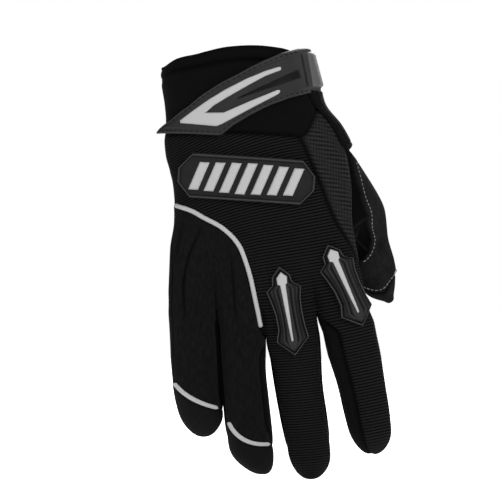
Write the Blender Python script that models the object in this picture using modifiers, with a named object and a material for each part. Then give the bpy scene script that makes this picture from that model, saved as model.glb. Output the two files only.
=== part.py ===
"""Motocross glove for the right hand, filled out as if worn and hanging fingers down.

Metres, +Z up. The origin is the middle of the wrist opening, the back of the hand faces -Y,
the palm +Y, and the thumb is at +X. The glove is one skin: a wrist cuff, a hand that parts
into four fingers, and a thumb let into the palm. That skin is worked out once from the named
sizes, then cut along its seams into panels, and each panel gets its own wall.
"""

import math

import bmesh
import bpy
import numpy as np

# Driving sizes of the hand that the glove is cut for
PALM_BREADTH = 0.106
PALM_LENGTH = 0.106
HAND_DEPTH = 0.040
FINGER_DEPTH = 0.0245
FINGER_CURL = 0.010
WEB_DEPTH = 0.008
THUMB_BREADTH = 0.0250
THUMB_DEPTH_SHARE = 0.88

# Shape of the cross sections: the power of the hand's boxy oval, where on the way to the
# roots the fingers begin to part and how late, and how fast a finger leaves its root row
OVAL_POWER = 2.4
PARTING_FROM = 0.60
PARTING_POWER = 1.6
ROOT_SETTLING = 0.22
TIP_POWER = 2.2

# Walls of the panels
CUFF_WALL = 0.0028
HEM_WALL = 0.0036
BACK_WALL = 0.0018
PALM_WALL = 0.0015
SIDE_WALL = 0.0012
SEAM_GAP = 0.0004

# Trim that is sewn or moulded on
STRAP_THICKNESS = 0.0024
STRAP_CLEARANCE = 0.0010
INLAY_THICKNESS = 0.0009
STRAP_END_THICKNESS = 0.0014
TAB_THICKNESS = 0.0022
GUARD_LENGTH = 0.0478
GUARD_BREADTH = 0.0184
GUARD_THICKNESS = 0.0030
ARROW_THICKNESS = 0.0010
BADGE_LENGTH = 0.0690
BADGE_HEIGHT = 0.0215
BADGE_THICKNESS = 0.0018
BAR_THICKNESS = 0.0010
PIPING_WIDTH = 0.0023
PIPING_HEIGHT = 0.0012
TRIM_CLEARANCE = 0.0008
PIPING_CLEARANCE = 0.0011
INLAY_CLEARANCE = 0.0005
PIPING_INSET = 0.12

# Angle over which an edge of a face is drawn sharp, and how near points are joined
CREASE_ANGLE = math.radians(40.0)
JOIN_DISTANCE = 0.00002

# How finely the skin is cut into faces
FINGER_STEPS = 5
SIDE_STEPS = 2
GUSSET_STEPS = 3
CUFF_ROWS = 6
FINGER_ROWS = 12
THUMB_RINGS = 11
STRAP_COLUMNS_OF_FACES = 4
BADGE_COLUMNS = 21
BADGE_ROWS = 5


def named(columns, *rows):
    """A table as a dictionary of its columns, each an array."""
    return dict(zip(columns.split(), np.array(rows, float).T))


# Outline of cuff and hand. Lengths down and across are shares of the palm's length and
# breadth, from the middle of the wrist opening. Depths are shares of the hand's depth.
OUTLINE = named(
    "down left right back palm",
    (-0.10, -0.375, 0.370, 0.66, 0.66),
    (0.10, -0.375, 0.405, 0.66, 0.66),
    (0.22, -0.360, 0.430, 0.64, 0.63),
    (0.31, -0.355, 0.500, 0.61, 0.60),
    (0.38, -0.365, 0.535, 0.58, 0.60),
    (0.45, -0.360, 0.555, 0.55, 0.60),
    (0.61, -0.322, 0.582, 0.50, 0.62),
    (0.80, -0.315, 0.586, 0.47, 0.58),
    (0.93, -0.333, 0.605, 0.46, 0.52),
    (1.11, -0.340, 0.640, 0.44, 0.46),
    (1.25, -0.340, 0.675, 0.42, 0.42),
    (1.40, -0.330, 0.710, 0.40, 0.40),
)

# The hand is counted across in fingers: 0 is the outer edge, 1 to 3 the gaps between fingers
# and 4 the thumb side. Each row gives where such a line runs, as a share of the breadth,
# and how far down the rim, the cuff seam on back and palm, and the root of the fingers lie.
ACROSS = named(
    "across share rim_back rim_palm seam_back seam_palm root",
    (0.0, 0.000, 0.040, 0.040, 0.365, 0.365, 1.20),
    (0.5, 0.110, -0.005, 0.045, 0.360, 0.372, 1.22),
    (1.0, 0.241, -0.030, 0.048, 0.358, 0.378, 1.25),
    (2.0, 0.466, -0.068, 0.050, 0.362, 0.380, 1.39),
    (3.0, 0.734, -0.072, 0.040, 0.378, 0.375, 1.28),
    (3.1, 0.761, -0.070, 0.038, 0.380, 0.370, 1.27),
    (3.5, 0.867, -0.050, 0.028, 0.235, 0.300, 1.23),
    (4.0, 1.000, 0.000, 0.000, 0.200, 0.200, 1.18),
)

# How far across the piping and the gusset seam lie, against the share of the way from
# the cuff seam to the finger roots. The rows of the hand's faces are taken from here too.
SEAMS = named(
    "way piping gusset",
    (0.000, 0.00, 3.10),
    (0.070, 0.00, 3.13),
    (0.140, 0.00, 3.16),
    (0.210, 0.00, 3.20),
    (0.280, 0.00, 3.26),
    (0.345, 0.00, 3.32),
    (0.410, 0.00, 3.39),
    (0.474, 0.74, 3.47),
    (0.527, 1.34, 3.55),
    (0.580, 1.60, 3.64),
    (0.640, 1.71, 3.75),
    (0.710, 1.79, 3.87),
    (0.784, 1.86, 3.95),
    (0.870, 1.90, 4.00),
    (0.940, 1.93, 4.00),
    (1.000, 2.00, 4.00),
)
PIPING_START = 6
GUSSET_END = 13
THUMB_FIRST = 3
THUMB_LAST = 12

# Middle line and half breadth of each finger against the way down, all as shares
FINGERS = {
    "little": named(
        "down middle half",
        (1.22, -0.222, 0.118), (1.41, -0.212, 0.119), (1.53, -0.204, 0.121),
        (1.69, -0.190, 0.118), (1.79, -0.172, 0.104), (1.88, -0.162, 0.085),
    ),
    "ring": named(
        "down middle half",
        (1.25, 0.030, 0.112), (1.41, 0.034, 0.114), (1.53, 0.037, 0.112),
        (1.69, 0.050, 0.116), (1.85, 0.066, 0.117), (1.97, 0.086, 0.104), (2.07, 0.118, 0.080),
    ),
    "middle": named(
        "down middle half",
        (1.28, 0.282, 0.132), (1.45, 0.296, 0.130), (1.61, 0.312, 0.123),
        (1.77, 0.338, 0.120), (1.93, 0.364, 0.112), (2.01, 0.373, 0.106), (2.095, 0.376, 0.094),
    ),
    "index": named(
        "down middle half",
        (1.20, 0.545, 0.135), (1.33, 0.565, 0.135), (1.45, 0.590, 0.135),
        (1.61, 0.628, 0.123), (1.77, 0.660, 0.116), (1.89, 0.681, 0.104), (1.97, 0.690, 0.090),
    ),
}

# Each finger by the line at its outer side, its tip down and the turn from the middle of the
# back at which its back panel ends on either side, in degrees
FINGER_SIDES = {
    "little": (0, 1.88, -90.0, 62.0),
    "ring": (1, 2.07, -72.0, 50.0),
    "middle": (2, 2.095, -75.0, 75.0),
    "index": (3, 1.97, -30.0, 90.0),
}
TIP_LENGTH = 0.14
TIP_BREADTH = 0.42
SIDE_PANEL_END = 0.84
SIDE_PANEL_CLOSING = 0.22
PALM_EDGE = 60.0
ROWS_TO_TIP = 1.35

# Middle line of the thumb, right and down as shares, out to the palm as a share of the
# hand's depth, and half breadth as a share of the thumb's breadth
THUMB = named(
    "way across down out half",
    (0.00, 0.500, 0.70, 0.40, 1.02),
    (0.25, 0.570, 0.80, 0.66, 0.68),
    (0.50, 0.640, 0.92, 0.82, 0.50),
    (0.72, 0.690, 1.04, 0.92, 0.46),
    (0.88, 0.725, 1.13, 0.96, 0.38),
    (1.00, 0.762, 1.215, 0.98, 0.22),
)
THUMB_TIP_FROM = 8
THUMB_ROWS_TO_TIP = 0.85
THUMB_SETTLING = 0.45
THUMB_FACING = np.array([0.45, -0.89, 0.0])
THUMB_CAP_SHARE = 0.55
THUMB_CAP_RISE = 0.0012
THUMB_END_REACH = 0.5

# The strap by its turn round the wrist, in degrees from the middle of the back, with its
# upper and lower edge down
STRAP = named(
    "turn upper lower",
    (-86.0, 0.345, 0.360),
    (-60.0, 0.292, 0.362),
    (-40.0, 0.235, 0.366),
    (-23.0, 0.165, 0.370),
    (-13.0, 0.125, 0.375),
    (-5.0, 0.090, 0.325),
    (7.5, 0.040, 0.272),
    (20.0, 0.000, 0.225),
    (36.0, -0.042, 0.190),
    (53.0, -0.062, 0.165),
    (70.0, -0.066, 0.155),
    (90.0, -0.066, 0.150),
    (110.0, -0.062, 0.152),
    (135.0, -0.055, 0.160),
    (160.0, -0.045, 0.170),
)

# The light inlay of the strap: its outer and inner edge, across and down
INLAY = named(
    "outer_x outer_z inner_x inner_z",
    (0.215, 0.034, 0.220, 0.054),
    (0.130, 0.067, 0.145, 0.090),
    (0.050, 0.100, 0.070, 0.128),
    (-0.130, 0.200, -0.070, 0.215),
    (-0.275, 0.310, -0.150, 0.265),
    (-0.095, 0.330, -0.050, 0.265),
    (0.070, 0.238, 0.085, 0.198),
    (0.220, 0.165, 0.215, 0.142),
)

# Half breadth of a knuckle guard along its length, as shares of its own sizes
GUARD = named(
    "along half",
    (0.00, 0.10), (0.11, 0.55), (0.19, 0.58), (0.26, 1.00), (0.39, 0.88),
    (0.60, 0.78), (0.82, 0.93), (1.00, 0.10),
)
ARROW = named(
    "along half",
    (0.07, 0.08), (0.13, 0.36), (0.18, 0.36), (0.21, 0.14), (0.50, 0.12), (0.84, 0.06),
)
GUARD_PLACES = {"middle": (0.213, 1.032, 11.0), "index": (0.436, 0.930, 21.0)}

BADGE_MIDDLE = (0.052, 0.585)
BADGE_TILT = 4.0
BADGE_POINT = 0.10
BADGE_END_HEIGHT = 0.30
BAR_COUNT = 7
BAR_SLANT = 0.35
BAR_SHARE = 0.62
BAR_REACH = 0.72
BAR_REACH_LOSS = 0.10

# The plain end block of the strap and the side tab: turns round the wrist in degrees, places
# down as shares, and how far the block stays inside the strap's edges
END_BLOCK_TURNS = (58.0, 100.0)
END_BLOCK_INSET = 0.012
TAB_DOWN = (0.185, 0.415)
TAB_TURN = 64.0
TAB_SWEEP = 30.0
TAB_STAND_OFF = 0.0018

# The stretches of the way from the cuff seam to the roots on which the piping's points lie
# close together and further apart
PIPING_CLOSE = (0.430, 0.60)
PIPING_WIDE = (0.63, 0.955)

# The light strips across the two outer fingertips: left end, middle and right end
STRIP_PLACES = {
    "little": ((-0.298, 1.618), (-0.215, 1.690), (-0.102, 1.728)),
    "ring": ((-0.032, 1.812), (0.045, 1.885), (0.157, 1.913)),
}
STRIP_WIDTH = 0.0021

COLOURS = {
    "neoprene": (0.012, 0.012, 0.013, 0.85, 0.0),
    "ribbed": (0.010, 0.010, 0.011, 0.70, 0.0),
    "smooth": (0.012, 0.012, 0.013, 0.80, 0.0),
    "suede": (0.014, 0.014, 0.015, 0.92, 0.0),
    "mesh": (0.010, 0.010, 0.011, 0.75, 0.0),
    "rubber": (0.016, 0.016, 0.017, 0.45, 0.0),
    "light": (0.62, 0.63, 0.64, 0.50, 0.0),
}


def curve(table, column, at):
    """Smooth line through a table's column: a cubic with the slope of its neighbours."""
    stations = next(iter(table.values()))
    values = table[column]
    slopes = np.gradient(values, stations)
    at = np.clip(at, stations[0], stations[-1])
    low = np.clip(np.searchsorted(stations, at, side="right") - 1, 0, len(stations) - 2)
    step = stations[low + 1] - stations[low]
    share = (at - stations[low]) / step
    square = share * share
    cube = square * share
    return (
        (2 * cube - 3 * square + 1) * values[low]
        + (cube - 2 * square + share) * step * slopes[low]
        + (3 * square - 2 * cube) * values[low + 1]
        + (cube - square) * step * slopes[low + 1]
    )


def ease(share):
    """Rises smoothly from 0 to 1."""
    share = np.clip(share, 0.0, 1.0)
    return share * share * (3.0 - 2.0 * share)


def arc_steps(count):
    """Shares from 0 to 1 spaced as the points of a half circle seen from the front."""
    return (1.0 - np.cos(np.linspace(0.0, math.pi, count + 1))) / 2.0


def wide_section(sideways):
    """Depth of the hand's boxy oval at a place sideways from -1 to 1."""
    return np.maximum(1.0 - np.abs(sideways) ** OVAL_POWER, 0.0) ** (1.0 / OVAL_POWER)


def hand_height(across, way, side):
    """How far down a point of the hand lies, from the cuff seam at 0 to the roots at 1."""
    seam = np.interp(across, ACROSS["across"], ACROSS["seam_back" if side < 0 else "seam_palm"])
    root = np.interp(across, ACROSS["across"], ACROSS["root"])
    return seam + (root - seam) * way


def section_point(across, down, side, swell=0.0):
    """Point of the plain hand or cuff section, before the fingers part."""
    share = np.interp(across, ACROSS["across"], ACROSS["share"])
    left = curve(OUTLINE, "left", down) * PALM_BREADTH - swell
    right = curve(OUTLINE, "right", down) * PALM_BREADTH + swell
    depth = curve(OUTLINE, "back" if side < 0 else "palm", down) * HAND_DEPTH + swell
    x = left + share * (right - left)
    y = side * depth * wide_section(2.0 * share - 1.0)
    return x, y, -down * PALM_LENGTH


def hand_point(across, way, side):
    """Point of the hand's skin: the plain section, which parts into finger ovals lower down."""
    across = np.asarray(across, float)
    down = hand_height(across, way, side)
    x, y, z = section_point(across, down, side)
    inside = across - np.clip(np.floor(across), 0, 3)
    oval = np.sqrt(np.maximum(1.0 - (2.0 * inside - 1.0) ** 2, 0.0))
    at_edge = ((across < 0.5) | (across > 3.5)).astype(float)
    web = (1.0 - at_edge) * WEB_DEPTH / 2.0
    fingers = side * (web + (FINGER_DEPTH / 2.0 - web) * oval)
    parting = ease((np.asarray(way, float) - PARTING_FROM) / (1.0 - PARTING_FROM))
    parting = parting ** PARTING_POWER
    return np.stack(np.broadcast_arrays(x, y + (fingers - y) * parting, z), axis=-1)


def cuff_point(across, way, side):
    """Point of the cuff between its rim at 0 and its seam at 1."""
    rim = np.interp(across, ACROSS["across"], ACROSS["rim_back" if side < 0 else "rim_palm"])
    seam = np.interp(across, ACROSS["across"], ACROSS["seam_back" if side < 0 else "seam_palm"])
    x, y, z = section_point(across, rim + (seam - rim) * way, side)
    return np.stack(np.broadcast_arrays(x, y, z), axis=-1)


def around(turn, down, swell):
    """Point of the cuff at a turn in degrees from the middle of the back, stood off the skin."""
    sideways = np.sin(np.radians(turn))
    side = np.where(np.abs(turn) <= 90.0, -1.0, 1.0)
    left = curve(OUTLINE, "left", down) * PALM_BREADTH - swell
    right = curve(OUTLINE, "right", down) * PALM_BREADTH + swell
    back = curve(OUTLINE, "back", down) * HAND_DEPTH + swell
    palm = curve(OUTLINE, "palm", down) * HAND_DEPTH + swell
    x = (left + right) / 2.0 + sideways * (right - left) / 2.0
    y = side * np.where(side < 0, back, palm) * wide_section(sideways)
    return np.stack(np.broadcast_arrays(x, y, -down * PALM_LENGTH), axis=-1)


def over_cuff(x, down, swell):
    """Point on the back of the cuff over a place of the front view, stood off the skin."""
    left = curve(OUTLINE, "left", down) * PALM_BREADTH - swell
    right = curve(OUTLINE, "right", down) * PALM_BREADTH + swell
    sideways = (2.0 * x - left - right) / (right - left)
    back = curve(OUTLINE, "back", down) * HAND_DEPTH + swell
    return np.stack([x, -back * wide_section(sideways), -down * PALM_LENGTH], axis=-1)


def finger_oval(name, down, turn):
    """Point of a finger at a place down and a turn in degrees from the middle of its back."""
    tip = FINGER_SIDES[name][1]
    table = FINGERS[name]
    root = table["down"][0]
    near_tip = np.clip((down - (tip - TIP_LENGTH)) / TIP_LENGTH, 0.0, 1.0)
    rounding = np.sqrt(np.maximum(1.0 - near_tip ** TIP_POWER, 0.0))
    half = curve(table, "half", down) * PALM_BREADTH
    half = half * (TIP_BREADTH + (1.0 - TIP_BREADTH) * rounding)
    body = curve(table, "half", down) / table["half"][1]
    depth = FINGER_DEPTH / 2.0 * body * rounding
    bend = FINGER_CURL * ((down - root) / (tip - root)) ** 2
    turn = np.radians(turn)
    x = curve(table, "middle", down) * PALM_BREADTH + half * np.sin(turn)
    return x, bend - depth * np.cos(turn)


def finger_strip(name, root_points, turns_from, turns_to, ways):
    """Strip of a finger from its root row to its tip, between two turns that vary on the way."""
    tip = FINGER_SIDES[name][1]
    steps = np.linspace(0.0, 1.0, len(root_points))
    way = ways[:, None]
    turn = turns_from[:, None] + (turns_to - turns_from)[:, None] * steps[None, :]
    root_down = -root_points[None, :, 2] / PALM_LENGTH
    down = root_down + (tip - root_down) * way
    x, y = finger_oval(name, down, turn)
    settled = ease(way / ROOT_SETTLING)
    x = root_points[None, :, 0] + (x - root_points[None, :, 0]) * settled
    y = root_points[None, :, 1] + (y - root_points[None, :, 1]) * settled
    return np.stack(np.broadcast_arrays(x, y, -down * PALM_LENGTH), axis=-1)


def finger_ways():
    """Rows along a finger, closer together at the tip."""
    return 1.0 - (1.0 - np.linspace(0.0, 1.0, FINGER_ROWS + 1)) ** ROWS_TO_TIP


def finger_patches(name):
    """The back, palm and side strips of one finger, with the panel that each belongs to."""
    first, _, back_left, back_right = FINGER_SIDES[name]
    ways = finger_ways()
    closing = ease((ways - SIDE_PANEL_END) / SIDE_PANEL_CLOSING + 1.0)
    left = back_left + (-90.0 - back_left) * closing
    right = back_right + (90.0 - back_right) * closing
    palm_edge = PALM_EDGE + (90.0 - PALM_EDGE) * closing
    has_left = first > 0
    has_right = first < 3
    palm_right = 180.0 - palm_edge if has_right else np.full_like(ways, 90.0)
    palm_left = palm_edge + 180.0 if has_left else np.full_like(ways, 270.0)
    back_root = hand_point(first + arc_steps(FINGER_STEPS), 1.0, -1)
    palm_root = hand_point(first + 1 - arc_steps(FINGER_STEPS), 1.0, 1)
    patches = [
        ("back_" + name, finger_strip(name, back_root, left, right, ways)),
        ("palm", finger_strip(name, palm_root, palm_right, palm_left, ways)),
    ]
    last = int(np.argmax(closing >= 1.0))
    if has_right:
        root = np.linspace(back_root[-1], palm_root[0], SIDE_STEPS + 1)
        strip = finger_strip(name, root, right, palm_right, ways)
        patches.append(("side_" + name + "_inner", strip[: last + 1]))
    if has_left:
        root = np.linspace(palm_root[-1], back_root[0], SIDE_STEPS + 1)
        strip = finger_strip(name, root, palm_left, left + 360.0, ways)
        patches.append(("side_" + name + "_outer", strip[: last + 1]))
    return patches


def row_between(first, last, steps):
    """Places across from first to last, with the spacing of two half circles."""
    halves = np.concatenate([arc_steps(steps) / 2.0, 0.5 + arc_steps(steps)[1:] / 2.0])
    return first + (last - first) * halves


def palm_row():
    """Places across the palm from the thumb side to the outer edge."""
    fingers = [3 - finger + 1 - arc_steps(FINGER_STEPS) for finger in range(4)]
    return np.concatenate([fingers[0]] + [one[1:] for one in fingers[1:]])


def hand_patches():
    """The ribbed back, the smooth outer back, the mesh gusset and the palm."""
    ways = SEAMS["way"]
    seams = list(zip(ways, SEAMS["piping"], SEAMS["gusset"]))
    ribbed = [
        hand_point(row_between(piping, gusset, FINGER_STEPS), way, -1)
        for way, piping, gusset in seams
    ]
    smooth = [
        hand_point(row_between(0.0, piping, FINGER_STEPS), way, -1)
        for way, piping, _ in seams[PIPING_START:]
    ]
    gusset = [
        hand_point(np.linspace(gusset, 4.0, GUSSET_STEPS + 1), way, -1)
        for way, _, gusset in seams[: GUSSET_END + 1]
    ]
    palm = hand_point(palm_row()[None, :], ways[:, None], 1)
    hole = palm[THUMB_FIRST : THUMB_LAST + 1, : FINGER_STEPS + 1]
    return [
        ("back_ribbed", np.array(ribbed)),
        ("back_smooth", np.array(smooth)),
        ("gusset", np.array(gusset)),
        ("palm", palm[: THUMB_FIRST + 1]),
        ("palm", palm[THUMB_FIRST : THUMB_LAST + 1, FINGER_STEPS:]),
        ("palm", palm[THUMB_LAST:]),
    ], hole


def cuff_patches():
    """The cuff's tube and the hem at its rim, with columns in line with the panels below."""
    ways = np.linspace(0.0, 1.0, CUFF_ROWS + 1)[:, None]
    first_gusset = SEAMS["gusset"][0]
    back = np.concatenate([
        row_between(0.0, first_gusset, FINGER_STEPS),
        np.linspace(first_gusset, 4.0, GUSSET_STEPS + 1)[1:],
    ])
    front_half = cuff_point(back[None, :], ways, -1)
    palm_half = cuff_point(palm_row()[None, :], ways, 1)
    tube = np.concatenate([front_half, palm_half[:, 1:]], axis=1)
    return [("hem", tube[:2]), ("cuff", tube[1:])]


def thumb_patches(hole):
    """Rings that grow from the hole in the palm into the round of the thumb."""
    top = hole[0, :-1]
    inner = hole[:-1, -1]
    bottom = hole[-1, :0:-1]
    outer = hole[:0:-1, 0]
    loop = np.concatenate([top, inner, bottom, outer])
    centre = loop.mean(axis=0)
    ways = np.linspace(0.0, 1.0, THUMB_RINGS + 1) ** THUMB_ROWS_TO_TIP
    middle = np.stack([
        curve(THUMB, "across", ways) * PALM_BREADTH,
        curve(THUMB, "out", ways) * HAND_DEPTH,
        -curve(THUMB, "down", ways) * PALM_LENGTH,
    ], axis=-1)
    along = np.gradient(middle, axis=0)
    along /= np.linalg.norm(along, axis=1)[:, None]
    across = np.cross(along, THUMB_FACING)
    across /= np.linalg.norm(across, axis=1)[:, None]
    up = np.cross(across, along)
    spoke = loop - centre
    flat = spoke - (spoke @ along[0])[:, None] * along[0]
    angle = np.arctan2(flat @ up[0], flat @ across[0])
    half = curve(THUMB, "half", ways) * THUMB_BREADTH
    ring = (
        middle[:, None, :]
        + half[:, None, None] * np.cos(angle)[None, :, None] * across[:, None, :]
        + half[:, None, None] * THUMB_DEPTH_SHARE * np.sin(angle)[None, :, None] * up[:, None, :]
    )
    settled = ease(ways / THUMB_SETTLING)[:, None, None]
    rings = loop[None] + (ring - loop[None]) * settled
    rings = np.concatenate([rings, rings[:, :1]], axis=1)
    end = middle[-1] + along[-1] * half[-1] * THUMB_END_REACH
    cap = rings[-1] + (end - rings[-1]) * THUMB_CAP_SHARE + along[-1] * THUMB_CAP_RISE
    pole = np.broadcast_to(end, rings[-1].shape)
    tip = np.concatenate([rings[THUMB_TIP_FROM:], cap[None], pole[None]])
    return [("thumb", rings[: THUMB_TIP_FROM + 1]), ("thumb_tip", tip)]


PANELS = {
    "hem": ("cuff_hem", HEM_WALL, "neoprene"),
    "cuff": ("wrist_cuff", CUFF_WALL, "neoprene"),
    "back_ribbed": ("back_panel_ribbed", BACK_WALL, "ribbed"),
    "back_middle": ("back_panel_ribbed", BACK_WALL, "ribbed"),
    "back_index": ("back_panel_ribbed", BACK_WALL, "ribbed"),
    "back_smooth": ("back_panel_smooth", BACK_WALL, "smooth"),
    "back_little": ("back_panel_smooth", BACK_WALL, "smooth"),
    "back_ring": ("back_panel_smooth", BACK_WALL, "smooth"),
    "gusset": ("mesh_gusset", SIDE_WALL, "mesh"),
    "palm": ("palm_panel", PALM_WALL, "suede"),
    "thumb": ("thumb", PALM_WALL, "suede"),
    "thumb_tip": ("thumb_tip", PALM_WALL, "suede"),
    "side_little_inner": ("side_panel_little", SIDE_WALL, "smooth"),
    "side_ring_outer": ("side_panel_ring_outer", SIDE_WALL, "smooth"),
    "side_ring_inner": ("side_panel_ring_inner", SIDE_WALL, "smooth"),
    "side_middle_outer": ("side_panel_middle_outer", SIDE_WALL, "smooth"),
    "side_middle_inner": ("side_panel_middle_inner", SIDE_WALL, "smooth"),
    "side_index_outer": ("side_panel_index", SIDE_WALL, "smooth"),
}


def clear_scene():
    for thing in list(bpy.data.objects):
        bpy.data.objects.remove(thing, do_unlink=True)


def material(name):
    """A Principled material with the piece's colour, roughness and metallic value."""
    made = bpy.data.materials.get(name)
    if made:
        return made
    red, green, blue, roughness, metallic = COLOURS[name]
    made = bpy.data.materials.new(name)
    made.use_nodes = True
    shader = made.node_tree.nodes["Principled BSDF"]
    shader.inputs["Base Color"].default_value = (red, green, blue, 1.0)
    shader.inputs["Roughness"].default_value = roughness
    shader.inputs["Metallic"].default_value = metallic
    return made


def grid_faces(rows, columns):
    """Faces of a grid whose rows run down and whose columns run round to the left-hand side."""
    corner = np.arange((rows - 1) * columns).reshape(rows - 1, columns)[:, :-1]
    return np.stack([corner, corner + columns, corner + columns + 1, corner + 1], axis=-1).reshape(-1, 4)


def joined_skin(patches):
    """One mesh of all the patches, sewn where they meet, with each face marked by its panel."""
    names = sorted({PANELS[label][0] for label, _ in patches})
    skin = bmesh.new()
    for label, points in patches:
        rows, columns, _ = points.shape
        made = [skin.verts.new(point) for point in points.reshape(-1, 3)]
        for face in grid_faces(rows, columns):
            new = skin.faces.new([made[index] for index in face])
            new.material_index = names.index(PANELS[label][0])
    bmesh.ops.remove_doubles(skin, verts=skin.verts, dist=JOIN_DISTANCE)
    bmesh.ops.dissolve_degenerate(skin, edges=skin.edges, dist=JOIN_DISTANCE / 2.0)
    bmesh.ops.recalc_face_normals(skin, faces=skin.faces)
    skin.normal_update()
    skin.verts.index_update()
    skin.verts.ensure_lookup_table()
    return skin, names


def pulled_back(points, faces, gap):
    """Points of a panel with its border drawn in by the gap, square to each border edge."""
    edges = {}
    for face in faces:
        corners = points[list(face)]
        normal = np.zeros(3)
        for index in range(1, len(face) - 1):
            normal += np.cross(corners[index] - corners[0], corners[index + 1] - corners[0])
        for start, end in zip(face, face[1:] + face[:1]):
            edges[(start, end)] = normal
    inward = {}
    for (start, end), normal in edges.items():
        if (end, start) in edges:
            continue
        step = np.cross(normal, points[end] - points[start])
        step /= np.linalg.norm(step)
        inward.setdefault(start, []).append(step)
        inward.setdefault(end, []).append(step)
    moved = points.copy()
    for index, steps in inward.items():
        total = steps[0] + steps[1]
        reach = max(1.0 + float(steps[0] @ steps[1]), 0.15)
        moved[index] += gap * total / reach
    return moved


def panel_mesh(name, skin, marker, wall):
    """A panel of the skin with its wall: outer faces, inner faces and the edge between them."""
    chosen = [face for face in skin.faces if face.material_index == marker]
    indices = sorted({vert.index for face in chosen for vert in face.verts})
    renumber = {old: new for new, old in enumerate(indices)}
    outer = np.array([skin.verts[index].co for index in indices], float)
    normals = np.array([skin.verts[index].normal for index in indices], float)
    faces = [tuple(renumber[vert.index] for vert in face.verts) for face in chosen]
    inner = pulled_back(outer - wall * normals, faces, SEAM_GAP / 2.0)
    outer = pulled_back(outer, faces, SEAM_GAP / 2.0)
    count = len(indices)
    used = {(start, end) for face in faces for start, end in zip(face, face[1:] + face[:1])}
    walls = []
    for start, end in sorted(used):
        if (end, start) in used:
            continue
        if indices[start] < indices[end]:
            walls += [(end, start, end + count), (start, start + count, end + count)]
        else:
            walls += [(end, start, start + count), (end, start + count, end + count)]
    inside = [tuple(index + count for index in reversed(face)) for face in faces]
    mesh = bpy.data.meshes.new(name)
    mesh.from_pydata(np.concatenate([outer, inner]).tolist(), [], faces + inside + walls)
    mesh.validate()
    return mesh


def add_object(name, mesh, collection, finish):
    made = bpy.data.objects.new(name, mesh)
    collection.objects.link(made)
    mesh.materials.clear()
    mesh.materials.append(material(finish))
    mesh.shade_smooth()
    mesh.set_sharp_from_angle(angle=CREASE_ANGLE)
    return made


def block_mesh(name, lower, upper):
    """Closed block between two grids of points, the upper one outside."""
    rows, columns, _ = lower.shape
    count = rows * columns
    face = grid_faces(rows, columns)
    top = face
    bottom = face[:, ::-1] + count
    index = np.arange(count).reshape(rows, columns)
    rim = np.concatenate([index[0, :-1], index[:-1, -1], index[-1, :0:-1], index[:0:-1, 0]])
    following = np.roll(rim, -1)
    sides = np.stack([rim, following, following + count, rim + count], axis=-1)
    mesh = bpy.data.meshes.new(name)
    points = np.concatenate([upper.reshape(-1, 3), lower.reshape(-1, 3)])
    mesh.from_pydata(points.tolist(), [], np.concatenate([top, bottom, sides]).tolist())
    work = bmesh.new()
    work.from_mesh(mesh)
    bmesh.ops.remove_doubles(work, verts=work.verts, dist=JOIN_DISTANCE)
    bmesh.ops.recalc_face_normals(work, faces=work.faces)
    work.to_mesh(mesh)
    work.free()
    return mesh


def strap_grid(swell):
    """Grid over the strap's length and breadth, stood off the cuff."""
    table = refined(STRAP, 2)
    share = np.linspace(0.0, 1.0, STRAP_COLUMNS_OF_FACES + 1)[None, :]
    upper = table["upper"][:, None]
    down = upper + (table["lower"][:, None] - upper) * share
    turn = np.broadcast_to(table["turn"][:, None], down.shape)
    return around(turn, down, swell)


def add_strap(collection):
    """The hook-and-loop strap with its pointed end, the light inlay and the plain end block."""
    base = STRAP_CLEARANCE
    top = base + STRAP_THICKNESS
    mesh = block_mesh("wrist_strap", strap_grid(base), strap_grid(top))
    add_object("wrist_strap", mesh, collection, "rubber")
    share = np.linspace(0.0, 1.0, 3)[None, :]
    inlay = {name: values[:, None] for name, values in refined(INLAY, 2).items()}
    x = (inlay["outer_x"] + (inlay["inner_x"] - inlay["outer_x"]) * share) * PALM_BREADTH
    down = inlay["outer_z"] + (inlay["inner_z"] - inlay["outer_z"]) * share
    low = over_cuff(x, down, top + INLAY_CLEARANCE)
    high = over_cuff(x, down, top + INLAY_CLEARANCE + INLAY_THICKNESS)
    add_object("strap_inlay", block_mesh("strap_inlay", low, high), collection, "light")
    turns = np.linspace(*END_BLOCK_TURNS, 6)
    share = np.linspace(0.0, 1.0, 4)[None, :]
    upper = curve(STRAP, "upper", turns)[:, None] + END_BLOCK_INSET
    lower = curve(STRAP, "lower", turns)[:, None] - END_BLOCK_INSET
    down = upper + (lower - upper) * share
    turn = np.broadcast_to(turns[:, None], down.shape)
    low = around(turn, down, top + INLAY_CLEARANCE)
    high = around(turn, down, top + INLAY_CLEARANCE + STRAP_END_THICKNESS)
    add_object("strap_end_block", block_mesh("strap_end_block", low, high), collection, "rubber")


def add_side_tab(collection):
    """The bound tab that runs down the thumb side of the wrist opening."""
    way = np.linspace(0.0, 1.0, 8)[:, None]
    share = np.linspace(0.0, 1.0, 4)[None, :]
    down = TAB_DOWN[0] + (TAB_DOWN[1] - TAB_DOWN[0]) * way
    turn = TAB_TURN + TAB_SWEEP * share
    stand_off = TRIM_CLEARANCE + TAB_STAND_OFF * np.sin(math.pi * way) * share
    low = around(turn, down, stand_off)
    high = around(turn, down, stand_off + TAB_THICKNESS)
    add_object("side_tab", block_mesh("side_tab", low, high), collection, "neoprene")


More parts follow.
